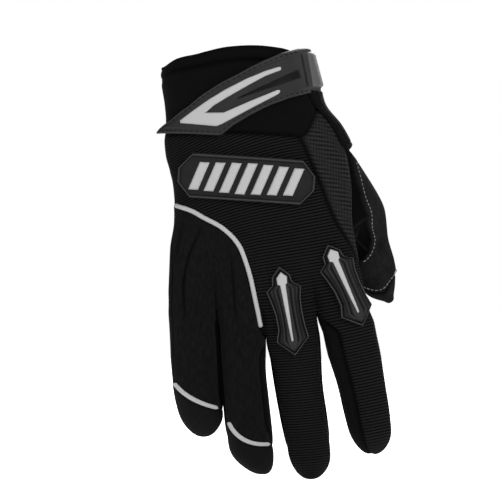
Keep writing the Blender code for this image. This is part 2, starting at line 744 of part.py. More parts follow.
def projected(name, x, z, target, stand_off, thickness, collection, finish):
    """A flat grid of the front view laid on the skin by Shrinkwrap and given its thickness."""
    rows, columns = x.shape
    points = np.stack([x, np.full_like(x, -0.1), z], axis=-1).reshape(-1, 3)
    mesh = bpy.data.meshes.new(name)
    mesh.from_pydata(points.tolist(), [], grid_faces(rows, columns).tolist())
    work = bmesh.new()
    work.from_mesh(mesh)
    bmesh.ops.remove_doubles(work, verts=work.verts, dist=JOIN_DISTANCE)
    work.normal_update()
    if sum(face.normal.y for face in work.faces) > 0.0:
        bmesh.ops.reverse_faces(work, faces=work.faces)
    work.to_mesh(mesh)
    work.free()
    made = add_object(name, mesh, collection, finish)
    wrap = made.modifiers.new("Lay on skin", "SHRINKWRAP")
    wrap.target = target
    wrap.wrap_method = "PROJECT"
    wrap.use_project_x = False
    wrap.use_project_y = True
    wrap.use_project_z = False
    wrap.use_positive_direction = True
    wrap.use_negative_direction = False
    wrap.offset = stand_off
    wrap.wrap_mode = "ABOVE_SURFACE"
    solid = made.modifiers.new("Thickness", "SOLIDIFY")
    solid.thickness = thickness
    solid.offset = 1.0
    return made


def leaf_grid(table, columns, length, half_breadth, place, tilt):
    """Grid of a long shape whose half breadth along its length is given by a table."""
    along = table["along"][:, None] * length
    half = table["half"][:, None] * half_breadth
    side = np.linspace(-1.0, 1.0, columns)[None, :]
    lean = math.radians(tilt)
    right = half * side
    x = place[0] * PALM_BREADTH + along * math.sin(lean) + right * math.cos(lean)
    z = -place[1] * PALM_LENGTH - along * math.cos(lean) + right * math.sin(lean)
    return x, z


def refined(table, pieces):
    """A table with straight steps put between its rows."""
    count = len(next(iter(table.values())))
    at = np.linspace(0.0, count - 1, (count - 1) * pieces + 1)
    return {name: np.interp(at, np.arange(count), values) for name, values in table.items()}


def add_guard(finger, skin_form, collection):
    """A moulded knuckle guard and the light arrow on it."""
    place_x, place_down, tilt = GUARD_PLACES[finger]
    place = (place_x, place_down)
    name = "knuckle_guard_" + finger
    x, z = leaf_grid(refined(GUARD, 2), 7, GUARD_LENGTH, GUARD_BREADTH / 2.0, place, tilt)
    projected(name, x, z, skin_form, TRIM_CLEARANCE, GUARD_THICKNESS, collection, "rubber")
    x, z = leaf_grid(refined(ARROW, 2), 3, GUARD_LENGTH, GUARD_BREADTH / 2.0, place, tilt)
    stand_off = TRIM_CLEARANCE + GUARD_THICKNESS + INLAY_CLEARANCE
    projected(
        "guard_arrow_" + finger, x, z, skin_form, stand_off, ARROW_THICKNESS, collection, "light"
    )


def badge_edge(side, share):
    """Upper or lower edge of the badge, which is pointed at both ends."""
    end = np.minimum(share, 1.0 - share) / BADGE_POINT
    height = BADGE_END_HEIGHT + (1.0 - BADGE_END_HEIGHT) * np.clip(end, 0.0, 1.0)
    return side * BADGE_HEIGHT / 2.0 * height


def badge_grid(left, right, reach, columns, rows, slant=0.0):
    """Grid in the badge's own flat, turned and moved to its place on the hand."""
    share = np.linspace(left, right, columns)[None, :]
    level = np.linspace(1.0, 0.0, rows)[:, None]
    bottom = badge_edge(-1.0, share) * reach
    top = badge_edge(1.0, share) * reach
    up = bottom + (top - bottom) * level
    along = (share - 0.5) * BADGE_LENGTH + up * slant
    lean = math.radians(BADGE_TILT)
    x = BADGE_MIDDLE[0] * PALM_BREADTH + along * math.cos(lean) + up * math.sin(lean)
    z = -BADGE_MIDDLE[1] * PALM_LENGTH - along * math.sin(lean) + up * math.cos(lean)
    return x, z


def add_badge(skin_form, collection):
    """The moulded badge on the back of the hand, plain, with a row of slanted light bars."""
    x, z = badge_grid(0.0, 1.0, 1.0, BADGE_COLUMNS, BADGE_ROWS)
    projected(
        "back_badge", x, z, skin_form, TRIM_CLEARANCE, BADGE_THICKNESS, collection, "rubber"
    )
    stand_off = TRIM_CLEARANCE + BADGE_THICKNESS + INLAY_CLEARANCE
    pitch = (1.0 - 2.0 * BADGE_POINT) / BAR_COUNT
    for index in range(BAR_COUNT):
        left = BADGE_POINT + pitch * (index + (1.0 - BAR_SHARE) / 2.0)
        middle = (BAR_COUNT - 1) / 2.0
        reach = BAR_REACH - BAR_REACH_LOSS * abs(index - middle) / middle
        x, z = badge_grid(left, left + pitch * BAR_SHARE, reach, 3, 4, BAR_SLANT)
        name = "badge_bar_{:d}".format(index + 1)
        projected(name, x, z, skin_form, stand_off, BAR_THICKNESS, collection, "light")


def ribbon_grid(line, width):
    """Grid along a line of the front view, as wide as the ribbon."""
    along = np.gradient(line, axis=0)
    along /= np.linalg.norm(along, axis=1)[:, None]
    side = np.stack([-along[:, 1], along[:, 0]], axis=-1)
    edge = np.linspace(-0.5, 0.5, 3)[None, :, None] * width
    grid = line[:, None, :] + side[:, None, :] * edge
    return grid[..., 0], grid[..., 1]


def add_piping(skin_form, collection):
    """The light piping between the ribbed and the smooth back panel."""
    way = np.concatenate([np.linspace(*PIPING_CLOSE, 14), np.linspace(*PIPING_WIDE, 12)])
    across = np.interp(way, SEAMS["way"], SEAMS["piping"])
    line = hand_point(np.maximum(across, PIPING_INSET), way, -1)[:, [0, 2]]
    x, z = ribbon_grid(line, PIPING_WIDTH)
    projected(
        "piping", x, z, skin_form, PIPING_CLEARANCE, PIPING_HEIGHT, collection, "light"
    )


def add_strip(finger, skin_form, collection):
    """The light strip across a fingertip, where the suede wraps over it."""
    ends = np.array(STRIP_PLACES[finger])
    share = np.linspace(0.0, 1.0, 9)[:, None]
    bent = 4.0 * ends[1] / 2.0 - (ends[0] + ends[2]) / 2.0
    line = ends[0] * (1 - share) ** 2 + bent * 2 * share * (1 - share) + ends[2] * share ** 2
    line = np.stack([line[:, 0] * PALM_BREADTH, -line[:, 1] * PALM_LENGTH], axis=-1)
    x, z = ribbon_grid(line, STRIP_WIDTH)
    projected(
        "fingertip_strip_" + finger, x, z, skin_form,
        TRIM_CLEARANCE, PIPING_HEIGHT, collection, "light",
    )


def add_skin_form(skin, guides):
    """The whole skin as a guide for the trim, left out of the part."""
    mesh = bpy.data.meshes.new("skin_form")
    skin.to_mesh(mesh)
    form = bpy.data.objects.new("skin_form", mesh)
    guides.objects.link(form)
    form.hide_render = True
    form.display_type = "WIRE"
    return form


def main():
    clear_scene()
    glove = bpy.data.collections.new("motocross_glove")
    guides = bpy.data.collections.new("guides")
    bpy.context.scene.collection.children.link(glove)
    bpy.context.scene.collection.children.link(guides)
    patches, hole = hand_patches()
    patches += cuff_patches()
    for finger in FINGERS:
        patches += finger_patches(finger)
    patches += thumb_patches(hole)
    skin, names = joined_skin(patches)
    finishes = {name: (wall, finish) for name, wall, finish in PANELS.values()}
    for marker, name in enumerate(names):
        wall, finish = finishes[name]
        add_object(name, panel_mesh(name, skin, marker, wall), glove, finish)
    form = add_skin_form(skin, guides)
    skin.free()
    add_strap(glove)
    add_side_tab(glove)
    for finger in GUARD_PLACES:
        add_guard(finger, form, glove)
    add_badge(form, glove)
    add_piping(form, glove)
    for finger in STRIP_PLACES:
        add_strip(finger, form, glove)


main()
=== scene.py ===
# %% [markdown]
# # A motocross glove
# A riding glove is a few flat pieces of cloth sewn into the round of a hand, with rubber pieces
# on top where a branch or a stone could hit. This lesson builds each piece as a surface worked
# out with numpy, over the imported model, which stays the frame that all places come from.

# %% The frame
import math

import bmesh
import bpy
import numpy as np
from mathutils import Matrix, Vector


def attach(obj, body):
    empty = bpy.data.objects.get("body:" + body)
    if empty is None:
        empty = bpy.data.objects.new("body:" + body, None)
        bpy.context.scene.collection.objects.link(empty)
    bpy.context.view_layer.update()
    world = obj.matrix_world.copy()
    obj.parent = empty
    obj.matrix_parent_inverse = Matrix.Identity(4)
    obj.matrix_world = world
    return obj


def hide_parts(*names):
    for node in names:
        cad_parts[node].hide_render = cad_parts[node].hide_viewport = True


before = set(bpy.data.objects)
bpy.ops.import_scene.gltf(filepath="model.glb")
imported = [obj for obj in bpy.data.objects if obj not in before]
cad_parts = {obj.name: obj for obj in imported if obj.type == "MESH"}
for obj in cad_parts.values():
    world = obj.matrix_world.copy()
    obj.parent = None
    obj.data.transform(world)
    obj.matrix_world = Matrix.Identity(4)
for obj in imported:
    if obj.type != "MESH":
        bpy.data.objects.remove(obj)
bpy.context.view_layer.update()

print("CAD nodes:", len(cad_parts))

# %% [markdown]
# ## Sizes and tables
# The hand's sizes come first, then short tables that say how its outline runs. A smooth curve
# through a table's column gives every place between its rows, so a few rows shape a finger.

# %% Sizes and curves
PALM_BREADTH = 0.106
PALM_LENGTH = 0.106
HAND_DEPTH = 0.040
FINGER_DEPTH = 0.0245
FINGER_CURL = 0.010
WEB_DEPTH = 0.008
THUMB_BREADTH = 0.0250


def named(columns, *rows):
    """A table as a dictionary of its columns, each an array."""
    return dict(zip(columns.split(), np.array(rows, float).T))


def along(table, column, at):
    """Smooth line through a column against the table's first: a cubic with neighbours' slopes."""
    stations = next(iter(table.values()))
    values = table[column]
    slopes = np.gradient(values, stations)
    at = np.clip(at, stations[0], stations[-1])
    low = np.clip(np.searchsorted(stations, at, side="right") - 1, 0, len(stations) - 2)
    step = stations[low + 1] - stations[low]
    share = (at - stations[low]) / step
    square = share * share
    cube = square * share
    return (
        (2 * cube - 3 * square + 1) * values[low]
        + (cube - 2 * square + share) * step * slopes[low]
        + (3 * square - 2 * cube) * values[low + 1]
        + (cube - square) * step * slopes[low + 1]
    )


def ease(share):
    """Rises smoothly from 0 to 1."""
    share = np.clip(share, 0.0, 1.0)
    return share * share * (3.0 - 2.0 * share)


def bell(value):
    """One at nought, falling off on both sides."""
    return np.exp(-value ** 2)


def half_circle(count):
    """Shares from 0 to 1 spaced as the points of a half circle seen from the front."""
    return (1.0 - np.cos(np.linspace(0.0, math.pi, count + 1))) / 2.0


def blend(first, second, share):
    """The first value at share 0, the second at 1."""
    return first + (second - first) * share


def within(share):
    """Way in from the nearer end of a share from 0 to 1."""
    return np.minimum(share, 1.0 - share)


def unit(vectors):
    """Vectors over their own lengths."""
    return vectors / np.linalg.norm(vectors, axis=-1, keepdims=True)


def joined(x, y, z):
    """Points from three arrays, each spread to the shape of all."""
    return np.stack(np.broadcast_arrays(x, y, z), axis=-1)


def path_length(points, axis=0):
    """Length of the way along one axis of a grid, summed from its start."""
    steps = np.diff(points, axis=axis, prepend=np.take(points, [0], axis))
    return np.cumsum(np.linalg.norm(steps, axis=-1), axis=axis)


print("sizes:", PALM_BREADTH * 1000, PALM_LENGTH * 1000, HAND_DEPTH * 1000, "mm")

# %% [markdown]
# ## Tables of the hand
# Heights are shares of the palm's length, counted down from the middle of the wrist, and
# sideways places are shares of its breadth. Fingers and thumb have a middle line and a half
# breadth each.

# %% Outline, borders and fingers
OUTLINE = named(
    "down left right back palm",
    (-0.10, -0.378, 0.345, 0.66, 0.66),
    (0.10, -0.378, 0.398, 0.66, 0.66),
    (0.22, -0.360, 0.430, 0.64, 0.63),
    (0.31, -0.355, 0.500, 0.61, 0.60),
    (0.38, -0.365, 0.535, 0.58, 0.60),
    (0.45, -0.360, 0.555, 0.55, 0.60),
    (0.61, -0.322, 0.582, 0.50, 0.62),
    (0.80, -0.315, 0.586, 0.47, 0.58),
    (0.93, -0.333, 0.605, 0.46, 0.52),
    (1.11, -0.340, 0.640, 0.44, 0.46),
    (1.25, -0.340, 0.675, 0.42, 0.42),
    (1.40, -0.330, 0.710, 0.40, 0.40),
)
ACROSS = named(
    "across share rim_back rim_palm seam_back seam_palm root",
    (0.0, 0.000, 0.040, 0.040, 0.365, 0.365, 1.20),
    (0.5, 0.110, -0.005, 0.045, 0.360, 0.372, 1.22),
    (1.0, 0.241, -0.024, 0.048, 0.358, 0.378, 1.235),
    (2.0, 0.466, -0.060, 0.050, 0.362, 0.380, 1.37),
    (3.0, 0.734, -0.064, 0.040, 0.378, 0.375, 1.245),
    (3.1, 0.761, -0.062, 0.038, 0.380, 0.370, 1.24),
    (3.5, 0.867, -0.050, 0.028, 0.300, 0.300, 1.215),
    (4.0, 1.000, 0.000, 0.000, 0.200, 0.200, 1.18),
)
PIPING_LINE = named(
    "down right",
    (0.600, -0.400), (0.710, -0.318), (0.740, -0.230), (0.780, -0.155), (0.820, -0.080),
    (0.860, -0.030), (0.915, 0.015), (0.985, 0.045), (1.065, 0.070), (1.155, 0.090),
    (1.250, 0.110), (1.340, 0.130), (1.390, 0.153),
)
GUSSET_LINE = named(
    "down right",
    (0.370, 0.310), (0.415, 0.335), (0.510, 0.375), (0.610, 0.420), (0.710, 0.460),
    (0.800, 0.500), (0.870, 0.545), (0.925, 0.580), (0.975, 0.600), (1.050, 0.640),
)
FINGER_LINES = {
    "little": (
        (1.22, -0.218, 0.124), (1.41, -0.205, 0.128), (1.53, -0.199, 0.127),
        (1.69, -0.187, 0.121), (1.79, -0.172, 0.110), (1.88, -0.162, 0.092),
    ),
    "ring": (
        (1.25, 0.026, 0.118), (1.41, 0.030, 0.120), (1.53, 0.034, 0.116),
        (1.69, 0.049, 0.117), (1.85, 0.066, 0.117), (1.97, 0.084, 0.109), (2.07, 0.132, 0.092),
    ),
    "middle": (
        (1.28, 0.282, 0.132), (1.45, 0.296, 0.130), (1.61, 0.312, 0.123),
        (1.77, 0.338, 0.120), (1.93, 0.364, 0.112), (2.01, 0.373, 0.106), (2.095, 0.376, 0.094),
    ),
    "index": (
        (1.20, 0.545, 0.135), (1.33, 0.565, 0.135), (1.45, 0.590, 0.135),
        (1.61, 0.628, 0.123), (1.77, 0.660, 0.116), (1.89, 0.681, 0.104), (1.97, 0.690, 0.090),
    ),
}
FINGERS = {name: named("down middle half", *rows) for name, rows in FINGER_LINES.items()}
# First place across, tip, turns of the back's left and right edge, way where the sides end.
FINGER_SIDES = {
    "little": (0, 1.88, -90.0, 62.0, 0.84),
    "ring": (1, 2.07, -72.0, 50.0, 0.84),
    "middle": (2, 2.095, -75.0, 75.0, 0.84),
    "index": (3, 1.97, -27.0, 90.0, 1.22),
}
THUMB = named(
    "way across down out half",
    (0.00, 0.500, 0.66, 0.40, 1.02),
    (0.25, 0.604, 0.78, 0.66, 0.74),
    (0.50, 0.672, 0.92, 0.82, 0.50),
    (0.72, 0.712, 1.035, 0.92, 0.47),
    (0.87, 0.740, 1.115, 0.96, 0.39),
    (0.95, 0.768, 1.160, 0.98, 0.25),
    (1.00, 0.788, 1.190, 0.985, 0.11),
)
print("hand outline rows:", len(OUTLINE["down"]))

# %% [markdown]
# ## One skin for the whole hand
# Seen end on, a gloved hand is a boxy oval. Its back and palm are the two halves of that oval,
# and each place on it is named by how far across it lies, counted in fingers, and how far down.
# Towards the knuckles the one oval parts into four.

# %% The hand's skin
BOXINESS = 2.4
PARTING_FROM = 0.60
PARTING_HASTE = 1.6


def wide_section(sideways):
    """Depth of the boxy oval: (1 - |s|^p)^(1/p) for s from -1 to 1, where p is its boxiness."""
    return np.maximum(1.0 - np.abs(sideways) ** BOXINESS, 0.0) ** (1.0 / BOXINESS)


def border_down(name, across, side):
    """Down share of a border of the cuff, on the back for side -1 or on the palm for 1."""
    return along(ACROSS, name + ("_back" if side < 0 else "_palm"), across)


def hand_height(across, way, side):
    """Down share of a place: the cuff seam plus a share of the way to the finger roots."""
    return blend(border_down("seam", across, side), along(ACROSS, "root", across), way)


def oval_size(down, front, swell=0.0):
    """Left edge, right edge and depth of the hand's oval, grown by a swell."""
    left = along(OUTLINE, "left", down) * PALM_BREADTH - swell
    right = along(OUTLINE, "right", down) * PALM_BREADTH + swell
    depth = np.where(front, along(OUTLINE, "back", down), along(OUTLINE, "palm", down))
    return left, right, depth * HAND_DEPTH + swell


def section_point(across, down, side):
    """Point of the plain oval: right from the outline's edges, depth from the boxy oval."""
    share = np.interp(across, ACROSS["across"], ACROSS["share"])
    left, right, depth = oval_size(down, side < 0)
    x = left + share * (right - left)
    return x, side * depth * wide_section(2.0 * share - 1.0), -down * PALM_LENGTH


def hand_point(across, way, side):
    """The plain oval, blended by an eased share into the ovals of the fingers lower down."""
    across = np.asarray(across, float)
    x, y, z = section_point(across, hand_height(across, way, side), side)
    inside = across - np.clip(np.floor(across), 0, 3)
    oval = np.sqrt(np.maximum(1.0 - (2.0 * inside - 1.0) ** 2, 0.0))
    web = np.where((across < 0.5) | (across > 3.5), 0.0, WEB_DEPTH / 2.0)
    fingers = side * (web + (FINGER_DEPTH / 2.0 - web) * oval)
    parting = ease((np.asarray(way, float) - PARTING_FROM) / (1.0 - PARTING_FROM))
    return joined(x, blend(y, fingers, parting ** PARTING_HASTE), z)


def cuff_point(across, way, side):
    """The plain oval between the rim at 0 and the cuff seam at 1."""
    ends = border_down("rim", across, side), border_down("seam", across, side)
    return joined(*section_point(across, blend(*ends, way), side))


def across_at(line, ways, low, high):
    """Where a line of the front view crosses each row, by halving between two places across."""
    low = np.full(ways.shape, float(low))
    high = np.full(ways.shape, float(high))
    for _ in range(40):
        middle = (low + high) / 2.0
        down = hand_height(middle, ways, -1)
        beyond = section_point(middle, down, -1)[0] > along(line, "right", down) * PALM_BREADTH
        high = np.where(beyond, middle, high)
        low = np.where(beyond, low, middle)
    return low


def row_between(first, last, steps, round_share):
    """Places across a row, even at round_share 0 and spaced as two half circles at 1."""
    halves = np.concatenate([half_circle(steps) / 2.0, 0.5 + half_circle(steps)[1:] / 2.0])
    even = np.linspace(0.0, 1.0, 2 * steps + 1)
    return blend(first, last, blend(even, halves, round_share))


knuckle_edge = float(section_point(4.0, 1.1, 1)[0])
print("thumb side of the knuckles at", round(knuckle_edge * 1000, 1), "mm")

# %% [markdown]
# ## Fingers
# A finger is an oval carried down a gently bent middle line. It narrows to a short line at the
# tip, where the back and the palm piece of a real glove are sewn together.

# %% Fingers
TIP_LENGTH = 0.14
TIP_BREADTH = 0.08
TIP_BLUNTNESS = 2.2
TIP_CLOSING = 0.22
SETTLING = 0.16
SIDE_STEPS = 16


def finger_oval(name, down, turn):
    """Middle line plus half breadth times sine and depth times cosine of the turn."""
    tip = FINGER_SIDES[name][1]
    table = FINGERS[name]
    near_tip = np.clip((down - (tip - TIP_LENGTH)) / TIP_LENGTH, 0.0, 1.0)
    rounding = np.sqrt(np.maximum(1.0 - near_tip ** TIP_BLUNTNESS, 0.0))
    half = along(table, "half", down) * PALM_BREADTH
    half = half * (TIP_BREADTH + (1.0 - TIP_BREADTH) * rounding)
    depth = FINGER_DEPTH / 2.0 * along(table, "half", down) / table["half"][1] * rounding
    root = table["down"][0]
    bend = FINGER_CURL * ((down - root) / (tip - root)) ** 2
    turn = np.radians(turn)
    x = along(table, "middle", down) * PALM_BREADTH + half * np.sin(turn)
    return x, bend - depth * np.cos(turn)


def finger_strip(name, root_points, turns_from, turns_to, ways):
    """Strip of a finger between two turns, eased out of its root row."""
    tip = FINGER_SIDES[name][1]
    steps = np.linspace(0.0, 1.0, len(root_points))
    way = ways[:, None]
    turn = blend(turns_from[:, None], turns_to[:, None], steps[None, :])
    root_down = -root_points[None, :, 2] / PALM_LENGTH
    down = blend(root_down, tip, way)
    x, y = finger_oval(name, down, turn)
    x = blend(root_points[None, :, 0], x, ease(way / SETTLING))
    y = blend(root_points[None, :, 1], y, ease(way / SETTLING))
    return joined(x, y, -down * PALM_LENGTH)


def finger_grids(name, rows, steps):
    """The back, palm and side strips of one finger as grids of points."""
    first, _, back_left, back_right, panel_end = FINGER_SIDES[name]

    def turns(ways):
        closing = ease((ways - panel_end) / TIP_CLOSING + 1.0)
        palm_edge = 60.0 + 30.0 * closing
        return {
            "left": blend(back_left, -90.0, closing),
            "right": blend(back_right, 90.0, closing),
            "palm_right": 180.0 - palm_edge if first < 3 else np.full_like(ways, 90.0),
            "palm_left": 180.0 + palm_edge if first > 0 else np.full_like(ways, 270.0),
        }

    ways = 1.0 - (1.0 - np.linspace(0.0, 1.0, rows + 1)) ** 1.35
    turn = turns(ways)
    back_root = hand_point(first + half_circle(steps), 1.0, -1)
    palm_root = hand_point(first + 1 - half_circle(steps), 1.0, 1)
    strips = {
        "back": finger_strip(name, back_root, turn["left"], turn["right"], ways),
        "palm": finger_strip(name, palm_root, turn["palm_right"], turn["palm_left"], ways),
    }
    ways = np.linspace(0.0, panel_end, rows + 1) if panel_end < 1.0 else ways
    turn = turns(ways)
    if first < 3:
        root = np.linspace(back_root[-1], palm_root[0], SIDE_STEPS + 1)
        strips["inner"] = finger_strip(name, root, turn["right"], turn["palm_right"], ways)
    if first > 0:
        root = np.linspace(palm_root[-1], back_root[0], SIDE_STEPS + 1)
        strips["outer"] = finger_strip(name, root, turn["palm_left"], turn["left"] + 360.0, ways)
    return strips


print("side panels have", SIDE_STEPS, "columns")

# %% [markdown]
# ## Thumb
# The thumb points down and a little towards the front. Its first ring is the border of a hole
# in the palm, so nothing has to be joined there afterwards, and its last rings close as a dome.

# %% Thumb rings
THUMB_FACING = np.array([0.45, -0.89, 0.0])
THUMB_FLATNESS = 0.88


def rim_of(grid):
    """The border of a grid as one closed run, each corner once."""
    return np.concatenate([grid[0, :-1], grid[:-1, -1], grid[-1, :0:-1], grid[:0:-1, 0]])


def thumb_rings(hole, count):
    """Rings that ease from the hole in the palm into ovals along the thumb's middle line."""
    loop = rim_of(hole)
    ways = np.linspace(0.0, 1.0, count + 1) ** 0.85
    middle = joined(
        along(THUMB, "across", ways) * PALM_BREADTH,
        along(THUMB, "out", ways) * HAND_DEPTH,
        -along(THUMB, "down", ways) * PALM_LENGTH,
    )
    ahead = unit(np.gradient(middle, axis=0))
    across = unit(np.cross(ahead, THUMB_FACING))
    up = np.cross(across, ahead)
    spoke = loop - loop.mean(axis=0)
    flat = spoke - (spoke @ ahead[0])[:, None] * ahead[0]
    angle = np.unwrap(np.arctan2(flat @ up[0], flat @ across[0]))
    even = 2.0 * math.pi * (np.arange(len(loop)) + 0.5) / len(loop)
    even = np.sign(angle[-1] - angle[0]) * even
    angle = 0.25 * angle + 0.75 * (angle.mean() + even - even.mean())
    half = along(THUMB, "half", ways) * THUMB_BREADTH
    ring = (
        middle[:, None, :]
        + half[:, None, None] * np.cos(angle)[None, :, None] * across[:, None, :]
        + half[:, None, None] * THUMB_FLATNESS * np.sin(angle)[None, :, None] * up[:, None, :]
    )
    rings = blend(loop[None], ring, ease(ways / 0.30)[:, None, None])
    rings = np.concatenate([rings, rings[:, :1]], axis=1)
    turn = np.linspace(0.0, math.pi / 2.0, 9)[1:, None, None]
    dome = middle[-1] + (rings[-1] - middle[-1]) * np.cos(turn)
    return np.concatenate([rings, dome + ahead[-1] * half[-1] * 0.8 * np.sin(turn)])


tips = [round(sides[1] * PALM_LENGTH * 1000) for sides in FINGER_SIDES.values()]
print("finger tips down, in millimetres:", tips)

# %% [markdown]
# ## Sewing grids into a panel
# Each cloth panel is one closed shell. Its grids are joined where they share points, smoothed a
# little, moved along their normals by a relief, and drawn down along the panel's own border, so
# that two neighbours meet in a seam. The inside is a coarser copy of the outside.

# %% Panels
SEAM_DEPTH = 0.0009
SEAM_WIDTH = 0.0013
MERGE_CELL = 0.00002
FAR = 0.05


def grid_quads(index):
    """Faces of a grid of point numbers."""
    corners = [index[:-1, :-1], index[1:, :-1], index[1:, 1:], index[:-1, 1:]]
    return np.stack(corners, axis=-1).reshape(-1, 4)


def border_distance(grid, borders):
    """Ways along rows or columns to the nearest of the borders t, b, l, r, the way that counts for
    the seam, and the way to the row of finger roots. On a finger, f, the seam fades in below the
    root along the borders in small letters, and has no depth at the tip."""
    down, over = path_length(grid), path_length(grid, 1)
    ways = {"t": down, "b": down[-1:] - down, "l": over, "r": over[:, -1:] - over}
    far = np.full(grid.shape[:2], FAR)
    nearest = np.minimum.reduce([ways[side] for side in borders.lower() if side in ways] + [far])
    if "f" not in borders:
        return np.stack([nearest, nearest, ways["b"]], axis=-1)
    fading = 0.004 * (1.0 - ease(down / 0.009))
    sewn = [ways[side] + fading for side in borders if side in "lr"]
    sewn += [ways[side.lower()] for side in borders if side in "LR"]
    return np.stack([nearest, np.minimum.reduce(sewn + [far]), down], axis=-1)


def merged(grids):
    """Points of the grids with shared ones once, their numbers, and their border distances."""
    stacked = np.concatenate([grid.reshape(-1, 3) for grid, _ in grids])
    ways = np.concatenate([border_distance(*sheet).reshape(-1, 3) for sheet in grids])
    key = np.round(stacked / MERGE_CELL).astype(np.int64)
    _, first, number = np.unique(key, axis=0, return_index=True, return_inverse=True)
    nearest = np.full((len(first), 3), 1.0)
    np.minimum.at(nearest, number.ravel(), ways)
    return stacked[first], number.ravel(), nearest.T


def face_normals(points, quads):
    """The cross product of each face's diagonals."""
    corner = points[quads]
    return np.cross(corner[:, 2] - corner[:, 0], corner[:, 3] - corner[:, 1])


def point_normals(points, quads):
    """Normals of points: the sum of the normals of their faces."""
    face = face_normals(points, quads)
    total = np.stack([
        np.bincount(quads.ravel(), np.repeat(along_axis, 4), len(points)) for along_axis in face.T
    ], axis=-1)
    return total / np.maximum(np.linalg.norm(total, axis=1), 1e-12)[:, None]


def facing_out(grids, points, number, core):
    """Point numbers of each grid, with its columns turned round where it looks at the core."""
    indices, start = [], 0
    for grid, borders in grids:
        index = number[start : start + grid[..., 0].size].reshape(grid.shape[:2])
        start += index.size
        quads = grid_quads(index)
        outwards = points[quads].mean(axis=1) - np.asarray(core)
        if (face_normals(points, quads) * outwards).sum() <= 0:
            index, borders = index[:, ::-1], borders.translate(str.maketrans("lrLR", "rlRL"))
        indices.append((index, borders))
    return indices


def relaxed(values, pairs, free, share, rounds):
    """Moves the free values by a share towards the mean of their neighbours on the grid."""
    ends, others = np.concatenate([pairs, pairs[:, ::-1]]).T
    number = np.maximum(np.bincount(ends, minlength=len(values)), 1)
    for _ in range(rounds):
        mean = np.stack([
            np.bincount(ends, column[others], len(values)) / number for column in values.T
        ], axis=-1)
        values = np.where(free, blend(values, mean, share), values)
    return values


def whole_faces(quads):
    """Faces as lists, with a corner that a face has twice taken once."""
    twice = (quads == np.roll(quads, 1, axis=1)).any(axis=1)
    cleaned = [list(dict.fromkeys(face)) for face in quads[twice].tolist()]
    return quads[~twice].tolist() + [face for face in cleaned if len(face) > 2]


print("seams:", SEAM_DEPTH * 1000, "mm deep")

# %% [markdown]
# ## Pieces of cloth
# Cloth on a glove is padded, so a panel is drawn as a closed shell with its own thickness. It is
# declared as a sheet as well, with half the area of the shell and the rectangle that it is cut
# from, because a real panel is cut flat from a roll.

# %% Closed shells
STRIDE = 4
skin_points = []
skin_quads = []


def linked(name, data):
    """A new object of the scene with a mesh, a lamp or a camera."""
    made = bpy.data.objects.new(name, data)
    bpy.context.scene.collection.objects.link(made)
    return made


def new_mesh(name, points, faces=()):
    """A mesh from an array of points and a list of faces."""
    mesh = bpy.data.meshes.new(name)
    mesh.from_pydata(points.reshape(-1, 3).tolist(), [], faces)
    return mesh


def new_piece(name, points, faces, material, facts, crisp=60.0):
    """A mesh object from arrays, shaded smooth, with named values for each point."""
    mesh = new_mesh(name, points, faces)
    for key, values in facts.items():
        kept = mesh.attributes.new(key, "FLOAT", "POINT")
        kept.data.foreach_set("value", values.astype(np.float32))
    mesh.update()
    mesh.shade_smooth()
    mesh.set_sharp_from_angle(angle=math.radians(crisp))
    mesh.materials.append(material)
    piece = linked(name, mesh)
    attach(piece, "root")
    return piece


def sewn_cloth(piece):
    """Returns the shell as it is. Declares a shell as cloth: half its area, cut from a
    rectangle that it mostly fills.
    """
    return piece


def shell_faces(indices, renumber):
    """Faces of the outside, of the coarser inside, and of the strips between along each border."""
    faces = whole_faces(np.concatenate([grid_quads(index) for index, _ in indices]))
    for index, borders in indices:
        faces += whole_faces(grid_quads(renumber[index[::STRIDE, ::STRIDE]])[:, ::-1])
        chains = {"t": index[0, ::-1], "b": index[-1], "l": index[:, 0], "r": index[::-1, -1]}
        for chain in (chains[side] for side in borders.lower().replace("f", "")):
            for low in range(0, len(chain) - 1, STRIDE):
                edge = chain[low : low + STRIDE + 1].tolist()
                inside = renumber[[edge[0], edge[-1]]].tolist()
                face = list(dict.fromkeys(edge[::-1] + inside))
                if len(set(edge)) > 1 and len(face) > 2:
                    faces.append(face)
    return faces


